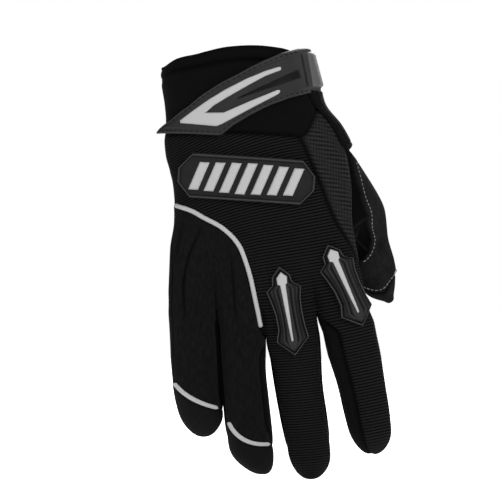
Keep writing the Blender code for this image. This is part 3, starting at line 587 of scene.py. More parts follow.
def panel(name, grids, core, wall, material, relief=None, rounds=8):
    """A closed cloth shell from (grid, borders) pairs; core is a point on the inner side."""
    points, number, (to_edge, distance, to_root) = merged(grids)
    count = len(points)
    indices = facing_out(grids, points, number, core)
    quads = np.concatenate([grid_quads(index) for index, _ in indices])
    pairs = np.concatenate([
        np.stack([first.ravel(), second.ravel()], axis=-1) for index, _ in indices
        for first, second in ((index[:-1], index[1:]), (index[:, :-1], index[:, 1:]))
    ])
    pairs = pairs[pairs[:, 0] != pairs[:, 1]]
    free = (to_edge > 1e-6)[:, None]
    points = relaxed(points, pairs, free, 0.5, rounds)
    if len(grids) > 1 and any("f" in borders for _, borders in grids):
        melting = ease((0.006 - to_root) / 0.005) * 0.5
        points = relaxed(points, pairs, free, melting[:, None], 50)
    skin_points.append(points)
    skin_quads.append(quads)
    normals = point_normals(points, quads)
    sink = bell(distance / SEAM_WIDTH)[:, None]
    sink = relaxed(sink, pairs, free, 0.5, 4)[:, 0]
    lift, facts = relief(points, normals, distance) if relief else (np.zeros(count), {})
    lift = lift * (1.0 - sink)
    outer = points + normals * (lift - SEAM_DEPTH * sink)[:, None]
    inner_ids = np.unique(np.concatenate([
        index[::STRIDE, ::STRIDE].ravel() for index, _ in indices
    ]))
    sunk = np.minimum(lift, 0.0)[inner_ids]
    inner = points[inner_ids] + normals[inner_ids] * (sunk - wall)[:, None]
    renumber = np.full(count, -1)
    renumber[inner_ids] = np.arange(len(inner_ids)) + count
    faces = shell_faces(indices, renumber)
    # Painted shade: the colour darkens in the sunk seams and wherever a relief marks creases, folds
    # or recesses dark, and the shell's inside is painted half dark.
    lit = (1.0 - sink) * (1.0 - facts.pop("dark", 0.0))
    shade = {"hollow": np.concatenate([lit, np.full(len(inner), 0.5)])}
    for key, values in facts.items():
        shade[key] = np.concatenate([values, values[inner_ids]])
    piece = new_piece(name, np.concatenate([outer, inner]), faces, material, shade)
    print(name, "points", count, "faces", len(faces))
    return sewn_cloth(piece)


print("inside of a shell: every", STRIDE, "rows")

# %% [markdown]
# ## Shaders as sums
# A cloth's look is a few waves and some noise added up. A small class wraps a socket, so that
# a sum written in Python adds the Math nodes by itself.

# %% Shader helpers
FULL_TURN = 2.0 * math.pi


class Wire:
    """One socket of a shader; arithmetic on it adds Math nodes."""

    def __init__(self, shade, socket):
        self.shade = shade
        self.socket = socket

    def maths(self, operation, *values, clamp=False):
        settings = {"operation": operation, "use_clamp": clamp}
        return self.shade.node("ShaderNodeMath", settings, dict(enumerate(values)))

    def __add__(self, other):
        return self.maths("ADD", self, other)

    def __sub__(self, other):
        return self.maths("SUBTRACT", self, other)

    def __rsub__(self, other):
        return self.maths("SUBTRACT", other, self)

    def __mul__(self, other):
        return self.maths("MULTIPLY", self, other)

    def __pow__(self, other):
        return self.maths("POWER", self, other)

    __radd__ = __add__
    __rmul__ = __mul__

    def sine(self):
        return self.maths("SINE", self)

    def limited(self):
        return self.maths("ADD", self, 0.0, clamp=True)


class Shade:
    """A material whose nodes are added by name, settings and socket values."""

    def __init__(self, name, **constants):
        self.material = bpy.data.materials.new(name)
        self.material.use_nodes = True
        self.tree = self.material.node_tree
        self.shader = self.tree.nodes["Principled BSDF"]
        for socket, value in constants.items():
            self.shader.inputs[socket.replace("_", " ")].default_value = value

    def feed(self, socket, value):
        if isinstance(value, Wire):
            self.tree.links.new(value.socket, socket)
        else:
            socket.default_value = value

    def node(self, kind, settings=None, sockets=None, output=0):
        made = self.tree.nodes.new(kind)
        for key, value in (settings or {}).items():
            setattr(made, key, value)
        for key, value in (sockets or {}).items():
            self.feed(made.inputs[key], value)
        return Wire(self, made.outputs[output])

    def place(self):
        return self.node("ShaderNodeTexCoord", output="Object")

    def axes(self):
        made = self.tree.nodes.new("ShaderNodeSeparateXYZ")
        self.feed(made.inputs[0], self.place())
        return [Wire(self, socket) for socket in made.outputs]

    def value(self, name):
        return self.node("ShaderNodeAttribute", {"attribute_name": name}, output="Fac")

    def noise(self, size, detail=2.0, stretch=1.0):
        scaled = {"Vector": self.place(), "Scale": (1.0, 1.0, 1.0 / stretch)}
        mapped = self.node("ShaderNodeMapping", None, scaled)
        sockets = {"Vector": mapped, "Scale": 1.0 / size, "Detail": detail}
        return self.node("ShaderNodeTexNoise", None, sockets)

    def crossed(self, pitch):
        """Two crossed waves: one over right and deep together, one over the height."""
        right, deep, up = self.axes()
        turns = FULL_TURN / pitch
        return ((right + deep) * turns).sine() * (up * turns).sine()

    def mix(self, share, first, second):
        sockets = {0: share, 6: first, 7: second}
        return self.node("ShaderNodeMix", {"data_type": "RGBA"}, sockets, output=2)

    def greys(self, share, level, dark, light):
        """A grey between two shares of a level."""
        return self.mix(share.limited(), grey(level * dark), grey(level * light))

    def finish(self, colour, roughness, height, depth):
        self.feed(self.shader.inputs["Base Color"], colour)
        self.feed(self.shader.inputs["Roughness"], roughness)
        sockets = {"Height": height, "Distance": depth, "Strength": 1.0}
        self.feed(self.shader.inputs["Normal"], self.node("ShaderNodeBump", None, sockets))
        return self.material


def grey(level):
    """A grey with an alpha."""
    return (level, level, level, 1.0)


def cloth_shade(name, specular=0.06, sheen=0.01, sheen_roughness=0.5):
    """A material with a cloth's weak shine and the pile's sheen."""
    return Shade(
        name, Specular_IOR_Level=specular, Sheen_Weight=sheen, Sheen_Roughness=sheen_roughness
    )


print("materials before the first cloth:", len(bpy.data.materials))

# %% [markdown]
# ## Five cloths and a rubber
# Neoprene and thread are plain weaves. The outer back is a stretch cloth with suede caps, the
# palm is suede, the inner back is knitted in ribs and the gusset is a mesh. All of them get
# painted shade in their seams. Rubber is drawn paler at its edges, gets painted highlights where
# light catches it, and painted shade in its grooves and slots.

# %% Materials


def woven(name, level, pitch, roughness, sheen=0.0):
    """Cloth of two crossed waves with a little noise, with painted shade towards its seams."""
    shade = cloth_shade(name, sheen=sheen)
    waves = shade.crossed(pitch)
    cloth = shade.noise(0.0030, 4.0)
    share = (0.35 + 0.3 * waves + 0.5 * cloth) * shade.value("hollow")
    colour = shade.greys(share, level, 0.35, 1.5)
    return shade.finish(colour, roughness + 0.1 * cloth, waves + 0.6 * cloth, 0.00006)


def capped(name, level, pitch, nap_level):
    """Plain stretch cloth with faint upright streaks, which gives way to suede at the tips."""
    shade = cloth_shade(name, sheen=0.04)
    waves = shade.crossed(pitch)
    streaks = shade.noise(0.0011, 4.0, 3.5)
    nap = shade.noise(0.0006, 5.0)
    tip = shade.value("tip")
    hollow = shade.value("hollow")
    # Painted shade: both looks are darker in the seams, in the creases and along the cap's seam
    # line.
    cloth = shade.greys((0.35 * waves + 1.1 * streaks - 0.05) * hollow, level, 0.12, 1.8)
    soft = shade.greys((1.1 * nap - 0.05) * hollow, nap_level, 0.3, 1.8)
    height = (waves + 0.8 * streaks) * (1.0 - tip) + (nap * 2.0) * tip
    return shade.finish(shade.mix(tip, cloth, soft), 0.75 + 0.1 * nap, height, 0.00007)


def suede(name, level):
    """Soft nap: two sizes of noise, darker where it is brushed down, with painted shade in the
    seams, folds and the thumb's recess.
    """
    shade = cloth_shade(name, 0.02, 0.006, 0.6)
    nap = shade.noise(0.0006, 5.0)
    patches = shade.noise(0.009, 3.0)
    share = (1.3 * nap + 0.9 * patches - 0.6) * shade.value("hollow")
    colour = shade.greys(share, level, 0.12, 1.8)
    return shade.finish(colour, 0.82 + 0.1 * nap, nap + 0.5 * patches, 0.00015)


def ribbed(name, level):
    """Ribs from the panel's own rib count, rounded on top, with painted shade between them and in
    the seams.
    """
    shade = cloth_shade(name)
    wave = (shade.value("ribs") * FULL_TURN).sine() * 0.5 + 0.5
    fade = shade.value("rib_depth")
    cloth = shade.noise(0.0016, 4.0)
    knit = (shade.axes()[0] * (FULL_TURN / 0.0012)).sine()
    # Painted shade: the grooves between the ribs are darker in colour, following the same wave as
    # the bump.
    tall = (wave ** 0.7) * fade + (1.0 - fade) * 0.6
    share = (tall * 0.95 + 0.3 * cloth + 0.07 * knit - 0.18) * shade.value("hollow")
    colour = shade.greys(share, level, 0.08, 2.0)
    return shade.finish(colour, 0.72 + 0.1 * cloth, tall + 0.12 * cloth, 0.00045)


def holed(name, level, pitch):
    """Spacer mesh: low rows that run across, and small holes, each row moved by half a hole."""
    shade = cloth_shade(name)
    right, _, up = shade.axes()
    turns = FULL_TURN / pitch
    holes = ((right + up * 0.62) * turns).sine() * ((right - up * 0.62) * turns).sine()
    rows = ((up + right * 0.14) * (FULL_TURN / 0.0021)).sine()
    open_share = 0.5 + 0.24 * holes + 0.22 * rows
    cloth = shade.noise(0.0020, 3.0)
    # Painted shade: the holes and low rows are darker in colour, and so are the seams.
    share = (open_share * 1.1 + 0.45 * cloth - 0.22) * shade.value("hollow")
    colour = shade.greys(share, level, 0.14, 2.0)
    return shade.finish(colour, 0.7 + 0.1 * cloth, open_share + 0.1 * cloth, 0.0005)


def rubber(name, level, roughness, specular=0.4, pale_gain=3.4):
    """Moulded rubber: even colour, faint grain, paler at marked edges, painted highlights and
    painted shade.
    """
    shade = Shade(name, Specular_IOR_Level=specular)
    grain = shade.noise(0.0008, 4.0)
    smears = shade.noise(0.012, 3.0)
    # Paler edges and painted highlights, where the piece's value says so.
    share = (shade.value("worn") + 0.2 * smears - 0.05).limited()
    colour = shade.mix(share, grey(level), grey(min(level * pale_gain, 0.88)))
    # Painted shade in slots, grooves and channels.
    colour = shade.mix(shade.value("hollow"), grey(level * 0.15), colour)
    return shade.finish(colour, roughness + 0.12 * smears, grain + 0.4 * smears, 0.00004)


NEOPRENE = woven("neoprene_cloth", 0.0052, 0.0007, 0.80, 0.03)
HEM_CLOTH = woven("hem_cloth", 0.0048, 0.0009, 0.82, 0.03)
SMOOTH_CLOTH = capped("smooth_cloth", 0.0098, 0.0006, 0.0095)
SIDE_CLOTH = woven("side_cloth", 0.0075, 0.0006, 0.80, 0.02)
RIBBED_CLOTH = ribbed("ribbed_cloth", 0.0115)
MESH_CLOTH = holed("mesh_cloth", 0.022, 0.0030)
PALM_SUEDE = suede("palm_suede_nap", 0.020)
BLACK_RUBBER = rubber("black_rubber_grain", 0.021, 0.45, 0.10, 5.0)
STRAP_RUBBER = rubber("strap_rubber_grain", 0.032, 0.42, 0.12)
END_RUBBER = rubber("strap_end_grain", 0.100, 0.42, 0.15)
LIGHT_RUBBER = rubber("light_rubber_grain", 0.76, 0.45, 0.3)
WHITE_THREAD = woven("white_thread_twist", 0.45, 0.0003, 0.6)
DARK_THREAD = woven("dark_thread_twist", 0.008, 0.0003, 0.6)
print("materials:", len(bpy.data.materials))

# %% [markdown]
# ## The ribbed back
# Knitted ribs run across the back of the hand and along the two inner fingers. They lean where
# the cloth is pulled round the hand, so the rib count is a height minus the sum of the leans.

# %% Ribbed back panel
RIB_PITCH = 0.00155
RIB_RELIEF = 0.00010
STRAIGHT_COLUMN = 90
FORK = (0.0435, -0.140)
FORK_LEAN = 0.20
CLOSER_SHARE = 0.12
RIBS_END = {"index": -0.205, "middle": -0.219}
INDEX_FROM = 0.0495
LEAN_RIGHT = np.array([-0.045, -0.025, -0.005, 0.015, 0.040, 0.060, 0.085])
LEAN_UP = np.array([-0.230, -0.170, -0.140, -0.115, -0.095, -0.075, -0.050, -0.036])
LEAN = np.array([
    (0.00, 0.00, 0.00, 0.00, 0.08, 0.16, 0.16),
    (0.00, 0.00, 0.02, 0.04, 0.12, 0.20, 0.20),
    (0.10, 0.10, 0.08, 0.06, 0.15, 0.22, 0.22),
    (0.35, 0.35, 0.28, 0.14, 0.16, 0.20, 0.20),
    (0.50, 0.55, 0.36, 0.17, 0.16, 0.18, 0.18),
    (0.48, 0.44, 0.30, 0.22, 0.20, 0.20, 0.20),
    (0.52, 0.48, 0.42, 0.30, 0.12, 0.10, 0.10),
    (0.52, 0.50, 0.44, 0.30, 0.02, 0.00, 0.00),
])


def rib_count(points):
    """Height less the leans summed from a straight column outwards, over the pitch."""
    fine_right = np.linspace(LEAN_RIGHT[0], LEAN_RIGHT[-1], 261)
    fine_up = np.linspace(LEAN_UP[0], LEAN_UP[-1], 195)
    rows = np.array([np.interp(fine_right, LEAN_RIGHT, row) for row in LEAN])
    leans = np.array([np.interp(fine_up, LEAN_UP, column) for column in rows.T]).T
    step, step_up = fine_right[1] - fine_right[0], fine_up[1] - fine_up[0]
    rise = np.cumsum(leans, axis=1) * step
    rise -= rise[:, STRAIGHT_COLUMN : STRAIGHT_COLUMN + 1]
    u = np.clip((points[:, 0] - fine_right[0]) / step, 0, len(fine_right) - 1.001)
    v = np.clip((points[:, 2] - fine_up[0]) / step_up, 0, len(fine_up) - 1.001)
    i, j = u.astype(int), v.astype(int)
    du, dv = u - i, v - j
    found = (
        rise[j, i] * (1 - du) * (1 - dv) + rise[j, i + 1] * du * (1 - dv)
        + rise[j + 1, i] * (1 - du) * dv + rise[j + 1, i + 1] * du * dv
    )
    below_fork = points[:, 2] - FORK[1]
    on_middle = points[:, 0] < FORK[0] - FORK_LEAN * below_fork
    closer = CLOSER_SHARE * np.minimum(below_fork, 0.0) * on_middle
    return (points[:, 2] + closer - found) / RIB_PITCH


def rib_relief(points, normals, distance):
    """A sine of the rib count, which fades at the fingertips."""
    count = rib_count(points)
    tips = np.where(points[:, 0] > INDEX_FROM, RIBS_END["index"], RIBS_END["middle"])
    depth = ease((points[:, 2] - tips) / 0.014 + 0.25)
    lift = RIB_RELIEF * np.sin(count * FULL_TURN) * depth
    return lift, {"ribs": count, "rib_depth": depth}


def back_grid(ways, lows, highs, steps):
    """The back of the hand between two places across, its columns parting towards the fingers."""
    return np.array([
        hand_point(row_between(low, high, steps, ease((way - 0.5) / 0.5)), way, -1)
        for way, low, high in zip(ways, lows, highs)
    ])


def finger_sheets(fingers, strip, borders):
    """One strip of each finger with its borders, ready for a panel."""
    return [(strips[strip], sides) for strips, sides in zip(fingers, borders)]


RIB_STEPS = 60
BACK_CORE = (0.0, 1.0, -0.1)
BACK_WALL = 0.0018
hand_ways = np.linspace(0.0, 1.0, 265)
piping_across = across_at(PIPING_LINE, hand_ways, 0.0, 2.05)
piping_across = np.where(piping_across < 0.004, 0.0, np.minimum(piping_across, 2.0))
piping_across[-1] = 2.0
gusset_across = across_at(GUSSET_LINE, hand_ways, 3.05, 4.0)
gusset_across = np.where(gusset_across > 3.996, 4.0, gusset_across)
gusset_across[0] = 3.1
gusset_last = int(np.argmax(gusset_across >= 4.0))
gusset_across[gusset_last:] = 4.0
ribbed_fingers = [finger_grids(name, 184, RIB_STEPS) for name in ("middle", "index")]
ribbed_back = panel(
    "ribbed_back",
    [(back_grid(hand_ways, piping_across, gusset_across, RIB_STEPS), "tlr")]
    + finger_sheets(ribbed_fingers, "back", ("lrbf", "lRbf")),
    BACK_CORE, BACK_WALL, RIBBED_CLOTH, rib_relief, rounds=14,
)
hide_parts("back_panel_ribbed")

# %% [markdown]
# ## The smooth outer back
# The two outer fingers have a plain stretch cloth. It starts in a point at the outer edge of
# the hand and is crossed by a few long sewn lines.

# %% Smooth back panel
SWELL_HEIGHT = 0.0003
CAP_PILE = 0.00025
RELIEF_FADE = 0.006
CREASES = named(
    "x1 z1 x2 z2 x3 z3 depth width",
    (-0.0185, -0.0885, -0.0250, -0.1040, -0.0274, -0.1180, 0.00050, 0.0006),
    (-0.0274, -0.1130, -0.0276, -0.1230, -0.0262, -0.1350, 0.00050, 0.0006),
    (-0.0026, -0.1020, -0.0012, -0.1190, 0.0002, -0.1370, 0.00040, 0.0006),
    (-0.0275, -0.0820, -0.0300, -0.0970, -0.0320, -0.1050, 0.00025, 0.0009),
    (-0.0332, -0.0930, -0.0336, -0.1290, -0.0322, -0.1700, 0.00055, 0.0005),
)
FINGERTIP_LINES = {
    "little": ((-0.0325, -0.1697), (-0.0236, -0.1774), (-0.0098, -0.1829)),
    "ring": ((-0.0037, -0.1903), (0.0042, -0.1994), (0.0176, -0.2021)),
}


def bent_line(ends, count):
    """A bend of second degree through three places."""
    ends = np.array(ends)
    way = np.linspace(0.0, 1.0, count)[:, None]
    pull = 2.0 * ends[1] - (ends[0] + ends[2]) / 2.0
    return ends[0] * (1 - way) ** 2 + pull * 2 * way * (1 - way) + ends[2] * way ** 2


def crease_lift(points, table):
    """Grooves along bent lines of the front view: a bell of the distance from each line."""
    lift = np.zeros(len(points))
    for row in range(len(table["x1"])):
        line = bent_line([(table["x" + key][row], table["z" + key][row]) for key in "123"], 60)
        gap = points[:, None, [0, 2]] - line[None]
        squared = (gap ** 2).sum(axis=2)
        nearest = np.argmin(squared, axis=1)
        fade = np.sin(math.pi * np.clip(0.06 + 0.88 * nearest / 59.0, 0, 1)) ** 0.5
        groove = np.exp(-squared[np.arange(len(points)), nearest] / table["width"][row] ** 2)
        lift -= table["depth"][row] * groove * fade
    return lift


def smooth_relief(points, normals, distance):
    """Long creases and a slow swell; past the fingertip lines the cloth is a thicker suede cap."""
    lift = crease_lift(points, CREASES)
    swell = np.sin(points[:, 2] * 190.0 + points[:, 0] * 160.0) * ease(distance / RELIEF_FADE)
    tip = np.zeros(len(points))
    # Painted shade in the creases and, below, along each cap's seam line.
    dark = np.clip(-lift / 0.00040, 0.0, 1.0)
    for finger, ends in FINGERTIP_LINES.items():
        line = bent_line(ends, 60)
        mine = (points[:, 0] < -0.0065) == (finger == "little")
        beyond = np.interp(points[:, 0], line[:, 0], line[:, 1]) - points[:, 2]
        tip += np.where(mine, ease(beyond / 0.0005 + 0.5), 0.0)
        seam = 0.6 * bell((beyond - 0.0019) / 0.0006)
        dark = np.maximum(dark, np.where(mine, seam, 0.0))
    return lift + SWELL_HEIGHT * swell + CAP_PILE * tip, {"tip": tip, "dark": dark}


SMOOTH_STEPS = 56
piping_start = int(np.argmax(piping_across > 0.0))
outer_ways = np.linspace(hand_ways[piping_start - 1], 1.0, 161)
outer_across = np.interp(outer_ways, hand_ways, piping_across)
smooth_fingers = [finger_grids(name, 128, SMOOTH_STEPS) for name in ("little", "ring")]
smooth_back = panel(
    "smooth_back",
    [(back_grid(outer_ways, np.zeros(161), outer_across, SMOOTH_STEPS), "lr")]
    + finger_sheets(smooth_fingers, "back", ("Lrbf", "lrbf")),
    BACK_CORE, BACK_WALL, SMOOTH_CLOTH, smooth_relief, rounds=14,
)
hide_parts("back_panel_smooth")

# %% [markdown]
# ## Mesh gusset
# An airy mesh lets the thumb side stretch. It is a spacer cloth cut as a long wedge, so its
# rows run straight from the ribbed panel's edge to the edge of the hand.

# %% Mesh gusset
MESH_WALL = 0.0012
gusset_ways = np.linspace(0.0, hand_ways[gusset_last], 121)
gusset_grid = np.array([
    hand_point(np.linspace(low, 4.0, 33), way, -1)
    for way, low in zip(gusset_ways, np.interp(gusset_ways, hand_ways, gusset_across))
])
gusset = panel("thumb_gusset", [(gusset_grid, "tlr")], BACK_CORE, MESH_WALL, MESH_CLOTH)
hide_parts("mesh_gusset")

# %% [markdown]
# ## Suede palm
# The palm is one piece of suede with a hole from which the thumb grows. The hole is a block of
# the grid that is left out, with its corners rounded by moving the places across a little.

# %% Palm
UNEVENNESS = 0.00025
FOLD_SHADE = 0.5
PALM_FOLDS = named(
    "x1 z1 x2 z2 x3 z3 depth width",
    (-0.0345, -0.1500, -0.0220, -0.1525, -0.0100, -0.1505, 0.0006, 0.0016),
    (-0.0090, -0.1600, 0.0040, -0.1625, 0.0160, -0.1605, 0.0006, 0.0016),
    (0.0190, -0.1620, 0.0330, -0.1645, 0.0470, -0.1620, 0.0006, 0.0016),
    (0.0500, -0.1550, 0.0630, -0.1575, 0.0760, -0.1550, 0.0006, 0.0016),
    (-0.0300, -0.1720, -0.0200, -0.1740, -0.0100, -0.1725, 0.0004, 0.0014),
    (-0.0050, -0.1860, 0.0070, -0.1880, 0.0180, -0.1865, 0.0004, 0.0014),
    (0.0240, -0.1880, 0.0370, -0.1905, 0.0490, -0.1885, 0.0004, 0.0014),
    (0.0560, -0.1780, 0.0670, -0.1800, 0.0780, -0.1785, 0.0004, 0.0014),
    (-0.0330, -0.1080, 0.0050, -0.1060, 0.0450, -0.1240, 0.0009, 0.0022),
    (-0.0300, -0.0950, 0.0100, -0.0850, 0.0350, -0.0950, 0.0006, 0.0022),
    (0.0100, -0.0480, 0.0220, -0.0700, 0.0400, -0.1000, 0.0008, 0.0024),
)


def palm_relief(points, normals, distance):
    """Folds where the fingers and the palm bend, and a slow unevenness of two crossed waves."""
    lift = crease_lift(points, PALM_FOLDS)
    x, z = points[:, 0], points[:, 2]
    wave = np.sin(x * 310.0 + z * 120.0) * np.sin(z * 260.0 - x * 90.0)
    dark = np.clip(-lift / PALM_FOLDS["depth"].max(), 0.0, 1.0) * FOLD_SHADE
    return lift + UNEVENNESS * wave * ease(distance / RELIEF_FADE), {"dark": dark}


PALM_STEPS = 24
PALM_CORE = (0.0, -1.0, -0.1)
SUEDE_WALL = 0.0015
PALM_ROWS = 97
HOLE_TOP, HOLE_BOTTOM = 20, 76
CORNER_SHIFT, CORNER_REACH = 0.34, 0.055
palm_across = np.concatenate([
    (4 - finger - half_circle(PALM_STEPS))[min(finger, 1):] for finger in range(4)
])
palm_ways = np.linspace(0.0, 1.0, PALM_ROWS)[:, None]
from_corners = (palm_ways - palm_ways[[HOLE_TOP, HOLE_BOTTOM], 0]) / CORNER_REACH
rounding = CORNER_SHIFT * bell(from_corners).sum(axis=1)
rounding[-1] = 0.0
inward = (4.0 - palm_across)[None, :]
inward = np.clip(np.minimum(inward, 2.0 - inward), 0.0, 1.0)
palm_grid = hand_point(palm_across[None, :] + rounding[:, None] * inward, palm_ways, 1)
above, beside_hole, below = (
    palm_grid[: HOLE_TOP + 1], palm_grid[HOLE_TOP : HOLE_BOTTOM + 1], palm_grid[HOLE_BOTTOM:]
)
thumb_side, rest = slice(None, PALM_STEPS + 1), slice(PALM_STEPS, None)
all_fingers = {name: finger_grids(name, 96, PALM_STEPS) for name in FINGERS}
palm = panel(
    "palm_suede",
    [
        (above[:, thumb_side], "tlb"), (above[:, rest], "tr"), (beside_hole[:, rest], "lr"),
        (below[:, thumb_side], "tl"), (below[:, rest], "r"),
    ] + finger_sheets(all_fingers.values(), "palm", ("lRbf", "lrbf", "lrbf", "Lrbf")),
    PALM_CORE, SUEDE_WALL, PALM_SUEDE, palm_relief, rounds=10,
)
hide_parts("palm_panel")

# %% [markdown]
# ## Thumb
# The thumb grows from the palm's hole in rings, as a sleeve grows from an armhole. Its tip is a
# cap of its own. A white row of stitches runs down its front, and inside it the cloth lies deep.

# %% Thumb and cap
CAP_FROM = 80
CAP_DIP = 12.0
CAP_REACH = 12.5
RECESS = 0.0016
RECESS_END = -0.1085
FOLD_HEIGHT, FOLD_WIDTH = 0.0006, 0.0006
BEAD_HEIGHT, BEAD_WIDTH = 0.0003, 0.0010
BEAD_SHIFT = 0.0012
THUMB_ROW = np.array([
    (0.0628, -0.0527), (0.0652, -0.0612), (0.0678, -0.0713), (0.0712, -0.0803), (0.0716, -0.0867),
    (0.0734, -0.0941), (0.0720, -0.1005), (0.0690, -0.1047), (0.0658, -0.1063),
])
THUMB_FOLDS = np.array([
    ((0.0620, -0.0885), (0.0705, -0.0827)), ((0.0631, -0.0938), (0.0705, -0.1002)),
])


def dipped(rings):
    """Slides the rings near the cap's seam towards the tip on the side that faces the front."""
    spoke = rings[CAP_FROM] - rings[CAP_FROM, :-1].mean(axis=0)
    front = np.clip(-unit(spoke)[:, 1], 0.0, 1.0) ** 2
    rows = np.arange(len(rings))[:, None]
    wanted = rows + CAP_DIP * bell((rows - CAP_FROM) / CAP_REACH) * front[None, :]
    wanted = np.minimum(wanted, len(rings) - 1.0)
    low = np.minimum(wanted.astype(int), len(rings) - 2)
    columns = np.arange(rings.shape[1])[None, :]
    share = (wanted - low)[..., None]
    return rings[low, columns] * (1.0 - share) + rings[low + 1, columns] * share


def straight_folds(points, folds, width):
    """One on any of the straight lines of the front view, easing to nothing beside them."""
    total = np.zeros(len(points))
    for start, end in folds:
        way = end - start
        share = np.clip((points[:, [0, 2]] - start) @ way / (way @ way), 0.0, 1.0)
        gap = np.linalg.norm(points[:, [0, 2]] - start - share[:, None] * way, axis=1)
        total = np.maximum(total, bell(gap / width))
    return total


def thumb_relief(points, normals, distance):
    """The cloth inside the white row lies deeper, with two thin raised folds."""
    line = np.interp(-points[:, 2], -THUMB_ROW[:, 1], THUMB_ROW[:, 0])
    facing = ease(-normals[:, 1] * 4.0)
    inside = ease((line - points[:, 0]) / BEAD_SHIFT) * facing
    inside *= ease((points[:, 2] - RECESS_END) / 0.004)
    folds = straight_folds(points, THUMB_FOLDS, FOLD_WIDTH)
    bead = bell((line + BEAD_SHIFT - points[:, 0]) / BEAD_WIDTH) * facing
    lift = (FOLD_HEIGHT * folds - RECESS) * inside + BEAD_HEIGHT * bead
    # Painted shade: the sunk cloth is darker, less so on its raised folds.
    return lift, {"dark": inside * (0.90 - 0.45 * folds)}


rings = dipped(thumb_rings(beside_hole[:, thumb_side], 100))
thumb = panel(
    "thumb_suede", [(rings[: CAP_FROM + 1], "tb")], rings[50].mean(axis=0), SUEDE_WALL,
    PALM_SUEDE, thumb_relief,
)
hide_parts("thumb")
cap = panel("thumb_cap", [(rings[CAP_FROM:], "t")], rings[84].mean(axis=0), SUEDE_WALL, PALM_SUEDE)
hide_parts("thumb_tip")

# %% [markdown]
# ## Side panels
# Between the backs and the palm sides of the fingers run narrow strips, which give each finger
# its depth. They use the fingers' own grids, so they meet their neighbours in the same seams.

# %% Side panels
SIDE_WALL = 0.0012
SIDE_NODES = {
    ("little", "inner"): "side_panel_little",
    ("ring", "outer"): "side_panel_ring_outer",
    ("ring", "inner"): "side_panel_ring_inner",
    ("middle", "outer"): "side_panel_middle_outer",
    ("middle", "inner"): "side_panel_middle_inner",
    ("index", "outer"): "side_panel_index",
}
for (finger, side), node in SIDE_NODES.items():
    strip = all_fingers[finger][side]
    core = strip.mean(axis=(0, 1)) + np.array([1.0 if side == "outer" else -1.0, 0.0, 0.0])
    sheet = (strip, "tlrbf" if finger == "index" else "tlrf")
    name = "wall_" + finger + "_" + side
    piece = panel(name, [sheet], core, SIDE_WALL, SIDE_CLOTH, rounds=3)
    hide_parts(node)

# %% [markdown]
# ## The cuff
# The wrist is a thick soft tube with a sewn hem at its rim. Its columns are closer together on
# the thumb side, so that they meet the columns of the gusset at the seam.

# %% Cuff and hem
HEM_SHARE = 0.166
CUFF_WALL, HEM_WALL = 0.0028, 0.0036
CUFF_CORE = (0.003, 0.0, -0.015)
cuff_back = np.concatenate([row_between(0.0, 3.1, 60, 0.0), np.linspace(3.1, 4.0, 41)[1:]])
cuff_palm = np.linspace(4.0, 0.0, 161)[1:]


def cuff_tube(first, last, rows):
    """Back half and palm half of the tube, one after the other round the wrist."""
    ways = np.linspace(first, last, rows)[:, None]
    halves = cuff_point(cuff_back[None, :], ways, -1), cuff_point(cuff_palm[None, :], ways, 1)
    return [(np.concatenate(halves, axis=1), "tb")]


cuff = panel("cuff_sleeve", cuff_tube(HEM_SHARE, 1.0, 61), CUFF_CORE, CUFF_WALL, NEOPRENE)
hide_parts("wrist_cuff")
hem = panel("cuff_hem_band", cuff_tube(0.0, HEM_SHARE, 17), CUFF_CORE, HEM_WALL, HEM_CLOTH)
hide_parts("cuff_hem")

# %% [markdown]
# ## Trim that lies on the cloth
# Moulded pieces are pressed onto the back of the hand. Each place of the front view is sent
# straight back onto the skin by a Shrinkwrap modifier. A stiff piece then takes the smooth
# surface of second degree that fits those depths best, because rubber bridges small dips.

# %% Laying trim on the skin
FAR_FRONT = -0.1
MILLIMETRE = 0.001
offsets = np.cumsum([0] + [len(points) for points in skin_points[:-1]])
skin_faces = np.concatenate([quads + offset for quads, offset in zip(skin_quads, offsets)])
skin = linked("skin", new_mesh("skin", np.concatenate(skin_points), whole_faces(skin_faces)))


def laid(x, z):
    """Depth at which places of the front view meet the skin; nan where they pass it."""
    mesh = new_mesh("probe", joined(x, FAR_FRONT, z))
    probe = linked("probe", mesh)
    wrap = probe.modifiers.new("lay", "SHRINKWRAP")
    wrap.target = skin
    wrap.wrap_method = "PROJECT"
    wrap.use_project_y = True
    wrap.use_positive_direction = True
    wrap.use_negative_direction = False
    found = np.empty(len(mesh.vertices) * 3, np.float32)
    moved = probe.evaluated_get(bpy.context.evaluated_depsgraph_get()).data
    moved.attributes["position"].data.foreach_get("vector", found)
    bpy.data.objects.remove(probe, do_unlink=True)
    bpy.data.meshes.remove(mesh)
    depth = found.reshape(-1, 3)[:, 1].astype(float).reshape(np.broadcast(x, z).shape)
    return np.where(depth < FAR_FRONT + 0.0005, np.nan, depth)


def powers(x, z):
    """The terms 1, x, z, xx, xz, zz and their slopes along x and z, in centimetres."""
    x, z = x * 100.0, z * 100.0
    one, none = np.ones_like(x), np.zeros_like(x)
    terms = np.stack([one, x, z, x * x, x * z, z * z], axis=-1)
    along_x = np.stack([none, one, none, 2 * x, z, none], axis=-1) * 100.0
    along_z = np.stack([none, none, one, none, x, 2 * z], axis=-1) * 100.0
    return terms, along_x, along_z


def moulded(x, z, press=0.5):
    """Points and outward normals of the best second degree surface over the skin."""
    depth = laid(x, z)
    hit = ~np.isnan(depth)
    terms, along_x, along_z = powers(x - x.mean(), z - z.mean())
    share, *_ = np.linalg.lstsq(terms[hit], depth[hit], rcond=None)
    fitted = terms @ share
    proud = float(np.min(depth[hit] - fitted[hit]))
    points = np.stack([x, fitted + press * proud, z], axis=-1)
    normals = np.stack([along_x @ share, -np.ones_like(x), along_z @ share], axis=-1)
    return points, unit(normals)


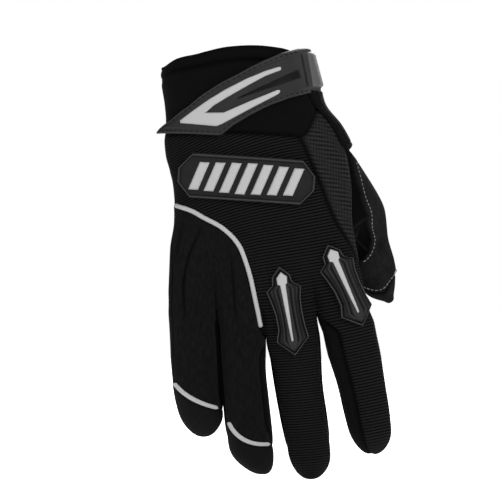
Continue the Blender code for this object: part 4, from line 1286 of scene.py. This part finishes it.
def on_surface(x, z, points, normals, at_x, at_z):
    """Depth and normal of a moulded grid at the nearest of its places in the front view."""
    gaps = (x.ravel() - at_x.reshape(-1, 1)) ** 2 + (z.ravel() - at_z.reshape(-1, 1)) ** 2
    nearest = np.argmin(gaps, axis=1)
    shape = at_x.shape + (3,)
    base, out = (grid.reshape(-1, 3)[nearest].reshape(shape) for grid in (points, normals))
    return joined(at_x, base[..., 1], at_z), out


print("skin points:", sum(len(points) for points in skin_points))

# %% [markdown]
# ## Moulded blocks
# Rubber trim has a flat underside and a shaped top. A block is the space between two such
# grids, closed by a rim, and its top carries the values that say where it is drawn paler, has a
# painted highlight or painted shade.

# %% Blocks


def rounded(inset, width):
    """Height share of a rounded edge: the root of the way in over the width, up to 1."""
    return np.sqrt(np.clip(inset / width, 0.0, 1.0))


def lifted(points, normals, under, over):
    """A lower and an upper grid: the points moved in along their normals, and moved out."""
    return points - normals * under, points + normals * np.asarray(over)[..., None]


def unworn(count):
    """The values of a piece without paler edges, painted highlights or painted shade."""
    return {"worn": np.zeros(count), "hollow": np.ones(count)}


def block(name, sheets, material, crisp=50.0, **values):
    """A closed body from (lower, upper) grid pairs, one or several, with values for the top."""
    points, faces = [], []
    start = 0
    for lower, upper in sheets:
        index = np.arange(upper[..., 0].size).reshape(upper.shape[:2]) + start
        top, rim, under = grid_quads(index), rim_of(index), index.size
        normal = np.cross(upper[-1, 0] - upper[0, -1], upper[-1, -1] - upper[0, 0])
        flip = -1 if normal @ (upper - lower).mean(axis=(0, 1)) < 0 else 1
        following = np.roll(rim, -1)
        sides = np.stack([rim, following, following + under, rim + under], axis=-1)
        for quads in (top[:, ::flip], top[:, ::-flip] + under, sides[:, ::flip]):
            faces += quads.tolist()
        points += [upper.reshape(-1, 3), lower.reshape(-1, 3)]
        start += 2 * under
    stacked = np.concatenate(points)
    facts = {key: np.concatenate([grid.ravel()] * 2) for key, grid in values.items()}
    piece = new_piece(name, stacked, faces, material, unworn(len(stacked)) | facts, crisp)
    clean = bmesh.new()
    clean.from_mesh(piece.data)
    bmesh.ops.remove_doubles(clean, verts=clean.verts, dist=0.000004)
    bmesh.ops.dissolve_degenerate(clean, edges=clean.edges, dist=0.000002)
    bmesh.ops.recalc_face_normals(clean, faces=clean.faces)
    clean.to_mesh(piece.data)
    clean.free()
    print(name, "faces", len(piece.data.polygons))
    return piece


print("height share of a rounded edge half way in:", round(float(rounded(0.5, 1.0)), 2))

# %% [markdown]
# ## Knuckle guards
# A guard is a long leaf with shoulders. It has a raised lip, a channel inside it, and a body
# with ridges that run lengthwise beside a light arrow. Its height is a profile of the distance
# from the edge, less bells for the grooves.

# %% Knuckle guards
GUARD_LENGTH = 0.0477
GUARD_UNDER = 0.0012
ARROW_FOOT, ARROW_EDGE, ARROW_DOME = 0.0018, 0.00255, 0.00075
GUARD_EDGES = named(
    "way right left",
    (0.000, 0.10, 0.10), (0.105, 4.70, 4.90), (0.162, 4.95, 5.20), (0.190, 5.40, 5.30),
    (0.252, 9.25, 8.90), (0.370, 8.00, 7.60), (0.520, 7.60, 6.35), (0.690, 7.90, 6.30),
    (0.820, 8.70, 8.20), (1.000, 0.10, 0.10),
)
ARROW_EDGES = named(
    "way right left",
    (0.055, 0.10, 0.10), (0.112, 2.70, 2.50), (0.182, 2.25, 2.60), (0.196, 1.40, 1.40),
    (0.500, 1.00, 1.00), (0.830, 0.50, 0.50), (0.838, 0.10, 0.10),
)
LIP = named(
    "inward height",
    (0.00, 0.70), (0.12, 1.35), (0.35, 1.60), (0.75, 1.60), (1.00, 0.95),
    (1.50, 0.90), (1.90, 2.10), (2.60, 2.55), (9.00, 2.85),
)
GUARD_PLACES = {"middle": (0.0226, -0.1079, 10.4, 1.0), "index": (0.0479, -0.0966, 23.2, 0.975)}


def leaf(edges, place, tilt, length, rows, columns):
    """Grid of a leaf: a middle line at a tilt, and sideways shares of its right and left edge."""
    way = np.linspace(edges["way"][0], edges["way"][-1], rows)
    way = np.unique(np.concatenate([way, edges["way"]]))[:, None]
    share = np.linspace(-1.0, 1.0, columns)[None, :]
    right = np.interp(way, edges["way"], edges["right"]) * MILLIMETRE
    left = np.interp(way, edges["way"], edges["left"]) * MILLIMETRE
    side = np.where(share > 0, share * right, share * left)
    inward = np.where(share > 0, (1 - share) * right, (1 + share) * left) * 1000.0
    lean = math.radians(tilt)
    down = way * length
    x = place[0] + down * math.sin(lean) + side * math.cos(lean)
    z = place[1] - down * math.cos(lean) + side * math.sin(lean)
    ends = within(way) * length * 1000.0 * 0.75
    return x, z, np.minimum(inward, ends), way, share


for finger, (right, up, tilt, scale) in GUARD_PLACES.items():
    length = GUARD_LENGTH * scale
    x, z, inward, way, share = leaf(GUARD_EDGES, (right, up), tilt, length, 120, 61)
    points, normals = moulded(x, z)
    height = np.interp(inward, LIP["inward"], LIP["height"])
    ridge = np.abs(share)
    ribs = 0.75 * bell((ridge - 0.36) / 0.06) + 0.5 * bell((ridge - 0.60) / 0.05)
    body = ease((way - 0.20) / 0.05) * ease((0.88 - way) / 0.06) * ease((inward - 1.6) / 0.5)
    height = height - ribs * body
    # The edge is drawn paler, the top of the body gets a painted highlight, and the channel and the
    # grooves between the ridges get painted shade.
    guard = block(
        "guard_" + finger, [lifted(points, normals, GUARD_UNDER, height * MILLIMETRE)],
        BLACK_RUBBER, 40.0,
        worn=0.95 * bell((inward - 0.45) / 0.32) + 0.30 * ease((height - 2.35) / 0.3),
        hollow=np.clip(1.0 - 0.85 * bell((inward - 1.25) / 0.30) - 0.6 * ribs, 0.0, 1.0),
    )
    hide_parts("knuckle_guard_" + finger)
    arrow_x, arrow_z, inset, *_ = leaf(ARROW_EDGES, (right, up), tilt, length, 80, 15)
    base, out = on_surface(x, z, points, normals, arrow_x, arrow_z)
    rise = ARROW_EDGE + ARROW_DOME * rounded(inset, 0.45)
    arrow = block("arrow_" + finger, [lifted(base, out, -ARROW_FOOT, rise)], LIGHT_RUBBER)
    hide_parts("guard_arrow_" + finger)

# %% [markdown]
# ## The plain badge
# A moulded plate stiffens the back of the hand. It stays plain, with a row of slanted light bars.
# It is one plate with pointed ends and a thin raised rim, and each bar is a small block on it.

# %% Badge
BADGE_LENGTH = 0.0715
BADGE_HEIGHT = 0.0235
BADGE_MIDDLE = (0.0055, -0.0622)
BADGE_TILT = 4.0
BADGE_POINT = 0.10
BAR_COUNT = 7
BAR_FROM, BAR_WIDE = 0.19, 0.62
BAR_SLANT = 0.35
BAR_FOOT, BAR_EDGE, BAR_DOME = 0.0008, 0.0015, 0.00075
BAR_HALF, BAR_SHRINK = 0.0083, 0.0010
BADGE_PROFILE = named(
    "inward height", (0.0, 0.7), (0.2, 1.6), (0.5, 1.9), (1.1, 1.9), (1.5, 1.35), (2.2, 1.35),
)


def badge_places(share, level):
    """Front view places of a plate with pointed ends, and the way in from its edge."""
    end = np.clip(within(share) / BADGE_POINT, 0.0, 1.0)
    half = BADGE_HEIGHT / 2.0 * (0.30 + 0.70 * end)
    up = level * half
    inward = np.minimum(half - np.abs(up), within(share) * BADGE_LENGTH) * 1000.0
    return *turned((share - 0.5) * BADGE_LENGTH, up), inward


def turned(along_plate, up):
    """Places of the plate's own flat, turned and moved onto the hand."""
    lean = math.radians(BADGE_TILT)
    x = BADGE_MIDDLE[0] + along_plate * math.cos(lean) + up * math.sin(lean)
    return x, BADGE_MIDDLE[1] - along_plate * math.sin(lean) + up * math.cos(lean)


share = np.concatenate([np.linspace(0.0, 1.0, 141), [BADGE_POINT, 1.0 - BADGE_POINT]])
x, z, inward = badge_places(np.unique(share)[:, None], np.linspace(-1.0, 1.0, 57)[None, :])
points, normals = moulded(x, z, 0.8)
height = np.interp(inward, BADGE_PROFILE["inward"], BADGE_PROFILE["height"])
# The rim is drawn paler and the channel inside it gets painted shade.
badge = block(
    "badge_plate", [lifted(points, normals, 0.0014, height * MILLIMETRE)], BLACK_RUBBER, 40.0,
    worn=0.80 * bell((inward - 0.7) / 0.40), hollow=1.0 - 0.8 * bell((inward - 1.7) / 0.35),
)
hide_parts("back_badge")
bars = []
pitch = (1.0 - 2.0 * BADGE_POINT) / BAR_COUNT
across = np.linspace(0.0, 1.0, 9)[:, None]
level = np.linspace(-1.0, 1.0, 25)[None, :]
for index in range(BAR_COUNT):
    reach = BAR_HALF - BAR_SHRINK * abs(index - 3) / 3.0
    place = BADGE_POINT + pitch * (index + BAR_FROM + BAR_WIDE * across) - 0.5
    up = level * reach + 0.0 * across
    bar_x, bar_z = turned(place * BADGE_LENGTH + up * BAR_SLANT, up)
    base, out = on_surface(x, z, points, normals, bar_x, bar_z)
    sideways = within(across) * pitch * BAR_WIDE * BADGE_LENGTH
    edge = np.minimum(sideways, (1 - np.abs(level)) * reach)
    bars.append(lifted(base, out, -BAR_FOOT, BAR_EDGE + BAR_DOME * rounded(edge, 0.0006)))
bar_piece = block("badge_bars", bars, LIGHT_RUBBER)
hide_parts(*["badge_bar_{:d}".format(index + 1) for index in range(BAR_COUNT)])

# %% [markdown]
# ## Wrist strap
# The strap goes round the cuff and ends in a point on the back of the wrist. Its upper and lower
# edge are a height for each turn round the wrist. Rim, stitching channel, slot and groove are
# profiles of the distance from the edge and of the place on the strap.

# %% Strap
STRAP = named(
    "turn upper lower",
    (-87.0, 0.352, 0.358), (-60.0, 0.290, 0.362), (-40.0, 0.228, 0.367), (-26.0, 0.170, 0.373),
    (-20.0, 0.148, 0.375), (-11.4, 0.115, 0.326), (0.0, 0.078, 0.282), (10.7, 0.040, 0.250),
    (20.0, 0.012, 0.225), (36.8, -0.030, 0.190), (56.6, -0.055, 0.165), (73.0, -0.064, 0.157),
    (90.0, -0.066, 0.153), (110.0, -0.062, 0.152), (135.0, -0.055, 0.160), (160.0, -0.045, 0.170),
)
STRAP_PROFILE = named(
    "inward height",
    (0.0, 0.9), (0.15, 1.5), (0.5, 1.75), (1.1, 1.75), (1.35, 1.55), (1.6, 1.75), (2.3, 1.8),
    (2.9, 2.4),
)
SUNK = 0.9
SLOT_ENDS = (0.0000, -0.0212), (0.0345, -0.0072)
GROOVE_ENDS = (0.0352, 0.0032), (0.0386, -0.0140)


def around(turn, down, swell):
    """Point of the cuff's oval at a turn from the middle of the back, grown by a swell."""
    sideways = np.sin(np.radians(turn))
    front = np.abs(turn) <= 90.0
    left, right, depth = oval_size(down, front, swell)
    x = (left + right) / 2.0 + sideways * (right - left) / 2.0
    y = np.where(front, -1.0, 1.0) * depth * wide_section(sideways)
    return joined(x, y, -down * PALM_LENGTH)


def over_cuff(x, z, swell):
    """Point on the back of the cuff's oval, grown by a swell, over a place of the front view."""
    left, right, depth = oval_size(-z / PALM_LENGTH, True, swell)
    sideways = (2.0 * x - left - right) / (right - left)
    return joined(x, -depth * wide_section(sideways), z)


def strap_edges(turn):
    """Down shares of the strap's upper and lower edge."""
    return [np.interp(turn, STRAP["turn"], STRAP[column]) for column in ("upper", "lower")]


def cuff_sheet(turn, down, low, high):
    """Lower and upper grid of a piece on the cuff, at two heights over its oval."""
    return [(around(turn, down, low), around(turn, down, high))]


def thinner(turn):
    """What the strap loses in height towards the thumb side."""
    return 0.0005 * ease((turn - 30.0) / 30.0)


def at_point(turn, height):
    """A height over the cuff's oval, which grows towards the strap's pointed end."""
    return height + 0.0014 * ease((-60.0 - turn) / 27.0)


def beside(x, z, start, end):
    """Way along a line of the front view, and distance from it in millimetres."""
    start, end = np.array(start), np.array(end)
    step = end - start
    length = np.hypot(*step)
    way = ((x - start[0]) * step[0] + (z - start[1]) * step[1]) / length ** 2
    away = ((x - start[0]) * step[1] - (z - start[1]) * step[0]) / length * 1000.0
    return way, away


turn = np.concatenate([np.linspace(-87.0, 90.0, 190), np.linspace(92.0, 160.0, 40)])[:, None]
share = np.linspace(0.0, 1.0, 49)[None, :]
top_edge, low_edge = strap_edges(turn)
down = blend(top_edge, low_edge, share)
inward = within(share) * (low_edge - top_edge) * PALM_LENGTH * 1000.0 * 0.86
flat = around(turn, down, 0.0034)
in_front = turn < 88.0
slot_way, slot_away = beside(flat[..., 0], flat[..., 2], *SLOT_ENDS)
slot_half = 0.4 + 1.9 * np.clip(slot_way, 0, 1)
slot = ease((slot_half - np.abs(slot_away)) / 0.5) * in_front
slot = slot * ease(slot_way / 0.04) * ease((1 - slot_way) / 0.02)
groove_way, groove_away = beside(flat[..., 0], flat[..., 2], *GROOVE_ENDS)
groove = bell(groove_away / 0.60) * in_front
groove = groove * ease(groove_way / 0.03) * ease((1 - groove_way) / 0.03)
height = np.interp(inward, STRAP_PROFILE["inward"], STRAP_PROFILE["height"])
height = height - SUNK * slot - SUNK * groove - 1000.0 * thinner(turn)
stand = at_point(turn, 0.0008)
# The strap is drawn a little paler overall and at its edges, gets a painted highlight that grows
# towards the thumb side, and painted shade in its slot and groove.
strap = block(
    "strap", cuff_sheet(turn, down, stand, stand + height * MILLIMETRE), STRAP_RUBBER, 40.0,
    worn=0.30 * bell((inward - 0.4) / 0.4) + 0.10 + 0.35 * ease((turn - 38.0) / 24.0),
    hollow=1.0 - 0.8 * slot - 0.9 * groove,
)
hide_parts("wrist_strap")

# %% [markdown]
# ## Inlay and end block
# A light V is let into the strap's pointed end. It is drawn as one bent band between an outer
# and an inner line of the front view. The thumb side of the strap carries a plain raised block.

# %% Strap inlay and end block
INLAY = named(
    "outer_x outer_z inner_x inner_z",
    (0.0233, -0.0040, 0.0238, -0.0059), (0.0150, -0.0067, 0.0154, -0.0092),
    (0.0053, -0.0108, 0.0066, -0.0140), (-0.0053, -0.0162, -0.0038, -0.0199),
    (-0.0137, -0.0212, -0.0115, -0.0245), (-0.0215, -0.0264, -0.0155, -0.0280),
    (-0.0291, -0.0318, -0.0161, -0.0281), (-0.0290, -0.0332, -0.0150, -0.0281),
    (-0.0101, -0.0351, -0.0062, -0.0281), (-0.0070, -0.0339, -0.0042, -0.0272),
    (0.0074, -0.0262, 0.0085, -0.0218), (0.0233, -0.0179, 0.0228, -0.0159),
)
last = len(INLAY["outer_x"]) - 1.0
end_steps = np.array([0.0, 0.004, 0.012, 0.03, 0.055, 0.085, 0.12])
fine = np.concatenate([np.arange(0.25, last - 0.2, 0.125), end_steps, last - end_steps])
fine = np.unique(fine)
edge = {
    name: np.interp(fine, np.arange(last + 1.0), values)[:, None] for name, values in INLAY.items()
}
to_end = np.minimum(fine, last - fine)[:, None]
roundness = np.sqrt(np.maximum(1.0 - (1.0 - np.minimum(to_end / 0.12, 1.0)) ** 2, 0.01))
share = 0.5 + (np.linspace(0.0, 1.0, 15)[None, :] - 0.5) * roundness
x = blend(edge["outer_x"], edge["inner_x"], share)
z = blend(edge["outer_z"], edge["inner_z"], share)
width = np.hypot(edge["inner_x"] - edge["outer_x"], edge["inner_z"] - edge["outer_z"])
inward = np.minimum(within(share) * width, to_end * 0.01)
rise = 0.0034 + 0.0007 * rounded(inward, 0.0006)
inlay = block("strap_v_inlay", [(over_cuff(x, z, 0.0026), over_cuff(x, z, rise))], LIGHT_RUBBER)
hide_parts("strap_inlay")

LAST_TURN = 100.0
share = np.linspace(0.0, 1.0, 31)[None, :]
first_turn = 66.0 - 4.5 * share
turn = blend(first_turn, LAST_TURN, np.linspace(0.0, 1.0, 41)[:, None])
top_edge, low_edge = strap_edges(turn)
down = blend(top_edge + 0.020, low_edge - 0.030, share)
inward = np.minimum(within(share) * 21.0, np.minimum(turn - first_turn, LAST_TURN - turn) * 0.35)
rise = 0.0028 + 0.0010 * rounded(inward, 1.2)
# The block is drawn a little paler overall, with a painted highlight that grows towards its far
# end.
end_block = block(
    "strap_plain_end", cuff_sheet(turn, down, 0.0020, rise), END_RUBBER,
    worn=0.25 + 0.7 * ease((turn - 70.0) / 14.0),
)
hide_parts("strap_end_block")

# %% [markdown]
# ## Side tab
# Below the strap, the slit of the cuff is covered by a bound tab with a rounded end. It is cloth
# again. Its binding is a groove beside the edge, which a folded ribbon leaves on a real tab.

# %% Side tab
way = np.linspace(0.0, 1.0, 61)[:, None]
share = np.linspace(0.0, 1.0, 25)[None, :]
blunt = np.sqrt(np.clip((1.0 - way) / 0.10, 0.0, 1.0))
inner_turn = 58.0 + 13.0 * way
outer_turn = 100.0 + 4.0 * way
middle_turn = inner_turn * 0.3 + outer_turn * 0.7
turn = blend(middle_turn, blend(inner_turn, outer_turn, share), 0.25 + 0.75 * blunt)
down = blend(0.150, 0.440, way) - 0.035 * share * way
edge = np.minimum(within(share) * 12.0, (1 - way) * 27.0)
binding = bell((edge - 2.2) / 0.35)
thick = 0.0010 + 0.0012 * rounded(edge, 0.8) - 0.0005 * binding
stand = 0.0004 + 0.0026 * way ** 3 * share
# Painted shade darkens the groove of the binding.
tab = block(
    "wrist_tab", cuff_sheet(turn, down, stand, stand + thick), SIDE_CLOTH,
    hollow=1.0 - 0.9 * binding,
)
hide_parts("side_tab")

# %% [markdown]
# ## Piping and fingertip strips
# The light piping is a cord in the seam between the two back panels. The two strips are flat
# ribbons with round ends, laid across the outer fingertips.

# %% Piping and strips
PIPING_RADIUS = 0.00118
STRIP_RADIUS = 0.00105


def framed(ahead, out):
    """Unit vectors ahead, outwards and sideways of a line, the outward ones square to ahead."""
    ahead = unit(ahead)
    out = unit(out - (out * ahead).sum(axis=1)[:, None] * ahead)
    return ahead, out, np.cross(ahead, out)


def round_ended(line, radius, least):
    """Half width of a line with round ends: the radius times the root of 1 - (1 - way in)^2."""
    steps = path_length(line)
    to_end = np.clip(np.minimum(steps, steps[-1] - steps) / radius, 0.0, 1.0)
    return radius * np.sqrt(np.clip(1.0 - (1.0 - to_end) ** 2, least, 1.0))


def tubes(name, rings, material):
    """Closed tubes from rings of points, as many as the first axis says, with a cap at each end."""
    index = np.arange(rings[..., 0].size).reshape(rings.shape[:3])
    following = np.roll(index, -1, axis=2)
    quads = [index[:, :-1], following[:, :-1], following[:, 1:], index[:, 1:]]
    caps = index[:, 0, ::-1].tolist() + index[:, -1].tolist()
    faces = np.stack(quads, axis=-1).reshape(-1, 4).tolist() + caps
    print(name, "tubes", len(rings))
    return new_piece(name, rings, faces, material, unworn(index.size))


def cord(name, line, normals, radius, material, sides=12):
    """A round cord along a line, with rings turned by the line and its normals, and round ends."""
    _, out, side = framed(np.gradient(line, axis=0), normals)
    angle = np.linspace(0.0, FULL_TURN, sides, endpoint=False)[None, :, None]
    ring = np.cos(angle) * out[:, None, :] + np.sin(angle) * side[:, None, :]
    size = round_ended(line, radius, 0.0004)[:, None, None]
    return tubes(name, (ring * size + line[:, None, :])[None], material)


piping_ways = np.linspace(hand_ways[piping_start] + 0.002, 0.955, 220)
piping_line = hand_point(np.interp(piping_ways, hand_ways, piping_across), piping_ways, -1)
piping_out = joined(piping_line[:, 0] * 8.0 - 0.02, -1.0, 0.0)
piping_line = piping_line + np.array([0.0, -0.0002, 0.0])
piping = cord("seam_piping", piping_line, piping_out, PIPING_RADIUS, LIGHT_RUBBER)
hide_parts("piping")

for finger, ends in FINGERTIP_LINES.items():
    line = bent_line(ends, 61)
    ahead = unit(np.gradient(line, axis=0))
    half = round_ended(line, STRIP_RADIUS, 0.001)[:, None]
    share = np.linspace(-1.0, 1.0, 11)[None, :]
    x = line[:, :1] - ahead[:, 1:] * half * share
    z = line[:, 1:] + ahead[:, :1] * half * share
    points, normals = moulded(x, z, 1.0)
    rise = 0.0002 + 0.0009 * np.sqrt(np.clip(1.0 - share ** 2, 0.0, 1.0))
    strip = block("strip_" + finger, [lifted(points, normals, 0.0010, rise)], LIGHT_RUBBER)
    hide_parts("fingertip_strip_" + finger)

# %% [markdown]
# ## Stitches
# A stitch is a short piece of thread that dips into the cloth at both ends. Every stitch of a
# row is the same small tube, placed by its middle, its direction and the cloth's normal.

# %% Stitches
STRAP_INSET = 0.0145
STITCH_ALONG = np.array([-1.0, -0.75, 0.0, 0.75, 1.0])
STITCH_SINK = np.array([-1.0, -0.1, 0.35, -0.1, -1.0])
STITCH_SIZE = np.array([0.45, 0.85, 1.0, 0.85, 0.45])


def sampled(steps, values, at):
    """Rows of values along a line, read at lengths from its start."""
    return np.stack([np.interp(at, steps, column) for column in values.T], axis=-1)


def stitches(name, lines, length, gap, radius, material):
    """Rows of stitches: at each middle a five ring tube, thin and sunk at its ends."""
    found = []
    for line, normals in lines:
        steps = path_length(line)
        at = np.arange(length / 2.0, steps[-1] - length / 2.0, length + gap)
        parts = line, np.gradient(line, axis=0), normals
        found.append([sampled(steps, part, at) for part in parts])
    middle, ahead, out = (np.concatenate(parts) for parts in zip(*found))
    ahead, out, side = (part[:, None] for part in framed(ahead, out))
    centre = (
        middle[:, None] + ahead * (STITCH_ALONG * length / 2.0)[None, :, None]
        + out * (STITCH_SINK * radius)[None, :, None]
    )
    angle = np.linspace(0.0, FULL_TURN, 6, endpoint=False)[None, None, :, None]
    ring = np.cos(angle) * out[:, None] + np.sin(angle) * side[:, None]
    size = (STITCH_SIZE * radius)[None, :, None, None]
    return tubes(name, centre[:, :, None] + size * ring, material)


def row_on_skin(line, count=200):
    """A smooth row through places of the front view, laid on the skin, with its normals."""
    steps = path_length(line)
    table = {"step": steps, "x": line[:, 0], "z": line[:, 1]}
    at = np.linspace(0.0, steps[-1], count)
    x, z = along(table, "x", at), along(table, "z", at)
    y, step = laid(x, z), 0.0008
    slope_x = (laid(x + step, z) - laid(x - step, z)) / (2 * step)
    slope_z = (laid(x, z + step) - laid(x, z - step)) / (2 * step)
    good = ~np.isnan(y + slope_x + slope_z)
    return joined(x, y, z)[good], unit(joined(slope_x, -1.0, slope_z)[good])


thumb_line, thumb_out = row_on_skin(THUMB_ROW + np.array([0.0010, 0.0]))
cap_line = rings[CAP_FROM - 4]
cap_out = unit(cap_line - cap_line[:-1].mean(axis=0))
white_rows = [(thumb_line + thumb_out * 0.00035, thumb_out), (cap_line + cap_out * 0.0002, cap_out)]
stitches("thumb_stitches", white_rows, 0.0016, 0.0007, 0.00026, WHITE_THREAD)
hem_line = cuff_point(np.linspace(0.05, 2.9, 260), HEM_SHARE * 0.80, -1)
hem_out = joined(hem_line[:, 0] * 10.0, -1.0, 0.0)
stitches("hem_stitches", [(hem_line, hem_out)], 0.0019, 0.0012, 0.00024, DARK_THREAD)
turn = np.linspace(-78.0, 58.0, 300)
thread_height = at_point(turn, 0.0024) - thinner(turn)
top_edge, low_edge = strap_edges(turn)
strap_rows = []
for down in top_edge + STRAP_INSET, low_edge - STRAP_INSET:
    line = around(turn, down, thread_height)
    strap_rows.append((line, line - around(turn, down, 0.0)))
stitches("strap_stitches", strap_rows, 0.0018, 0.0013, 0.00024, DARK_THREAD)
bpy.data.objects.remove(skin, do_unlink=True)

# %% [markdown]
# ## Camera, floor and light
# The photograph looks straight at the back of the hand from some way off. A pale floor and soft
# light from large lamps keep the black cloth readable.

# %% Camera, floor and light
VIEW_MIDDLE = (0.0074, -0.0994)
VIEW_DISTANCE = 1.3
VIEW_HALF = 0.1325
LAMP_TARGET = (0.0, 0.0, -0.1)
FLOOR_HEIGHT = -0.2235
LIT_SHARE = 0.135
view = bpy.data.cameras.new("camera")
view.angle = 2.0 * math.atan(VIEW_HALF / VIEW_DISTANCE)
view.clip_start = 0.01
camera = linked("camera", view)
camera.location = (VIEW_MIDDLE[0], -VIEW_DISTANCE, VIEW_MIDDLE[1])
camera.rotation_euler = (math.radians(90.0), 0.0, 0.0)
bpy.context.scene.camera = camera


def area_lamp(name, place, size, power):
    """A soft square lamp turned towards the glove."""
    data = bpy.data.lights.new(name, "AREA")
    data.size = size
    data.energy = power
    lamp = linked(name, data)
    lamp.location = place
    lamp.rotation_mode = "QUATERNION"
    lamp.rotation_quaternion = (Vector(LAMP_TARGET) - Vector(place)).to_track_quat("-Z", "Y")


area_lamp("key", (0.65, -0.9, 0.65), 0.5, 5.5)
area_lamp("fill", (-0.9, -0.8, 0.4), 0.8, 3.0)
area_lamp("rear", (0.2, 1.1, 0.6), 0.8, 14.0)
world = bpy.data.worlds.new("studio")
bpy.context.scene.world = world
world.use_nodes = True
paper = world.node_tree.nodes["Background"]
seen = world.node_tree.nodes.new("ShaderNodeLightPath").outputs["Is Camera Ray"]
brightness = world.node_tree.nodes.new("ShaderNodeMapRange")
brightness.inputs["To Min"].default_value = LIT_SHARE
brightness.inputs["To Max"].default_value = 1.0
world.node_tree.links.new(seen, brightness.inputs["Value"])
world.node_tree.links.new(brightness.outputs["Result"], paper.inputs["Strength"])
paper.inputs["Color"].default_value = (1.0, 1.0, 1.0, 1.0)
floor_shade = Shade("floor_paint", Specular_IOR_Level=0.0, Emission_Strength=1.0)
seen_floor = floor_shade.node("ShaderNodeLightPath")
floor_shade.feed(
    floor_shade.shader.inputs["Emission Color"], floor_shade.mix(seen_floor, grey(0.1), grey(1.0))
)
floor_paint = floor_shade.finish(
    floor_shade.mix(floor_shade.noise(0.02), grey(0.90), grey(0.92)), 0.9,
    floor_shade.noise(0.004), 0.00002,
)
reach = np.linspace(-1.5, 1.5, 9)
floor_points = joined(reach[:, None], reach[None, :], FLOOR_HEIGHT)
floor_quads = grid_quads(np.arange(reach.size ** 2).reshape(reach.size, -1))
floor = linked("floor", new_mesh("floor", floor_points, floor_quads.tolist()))
floor.data.materials.append(floor_paint)
bpy.context.scene.view_settings.view_transform = "Standard"
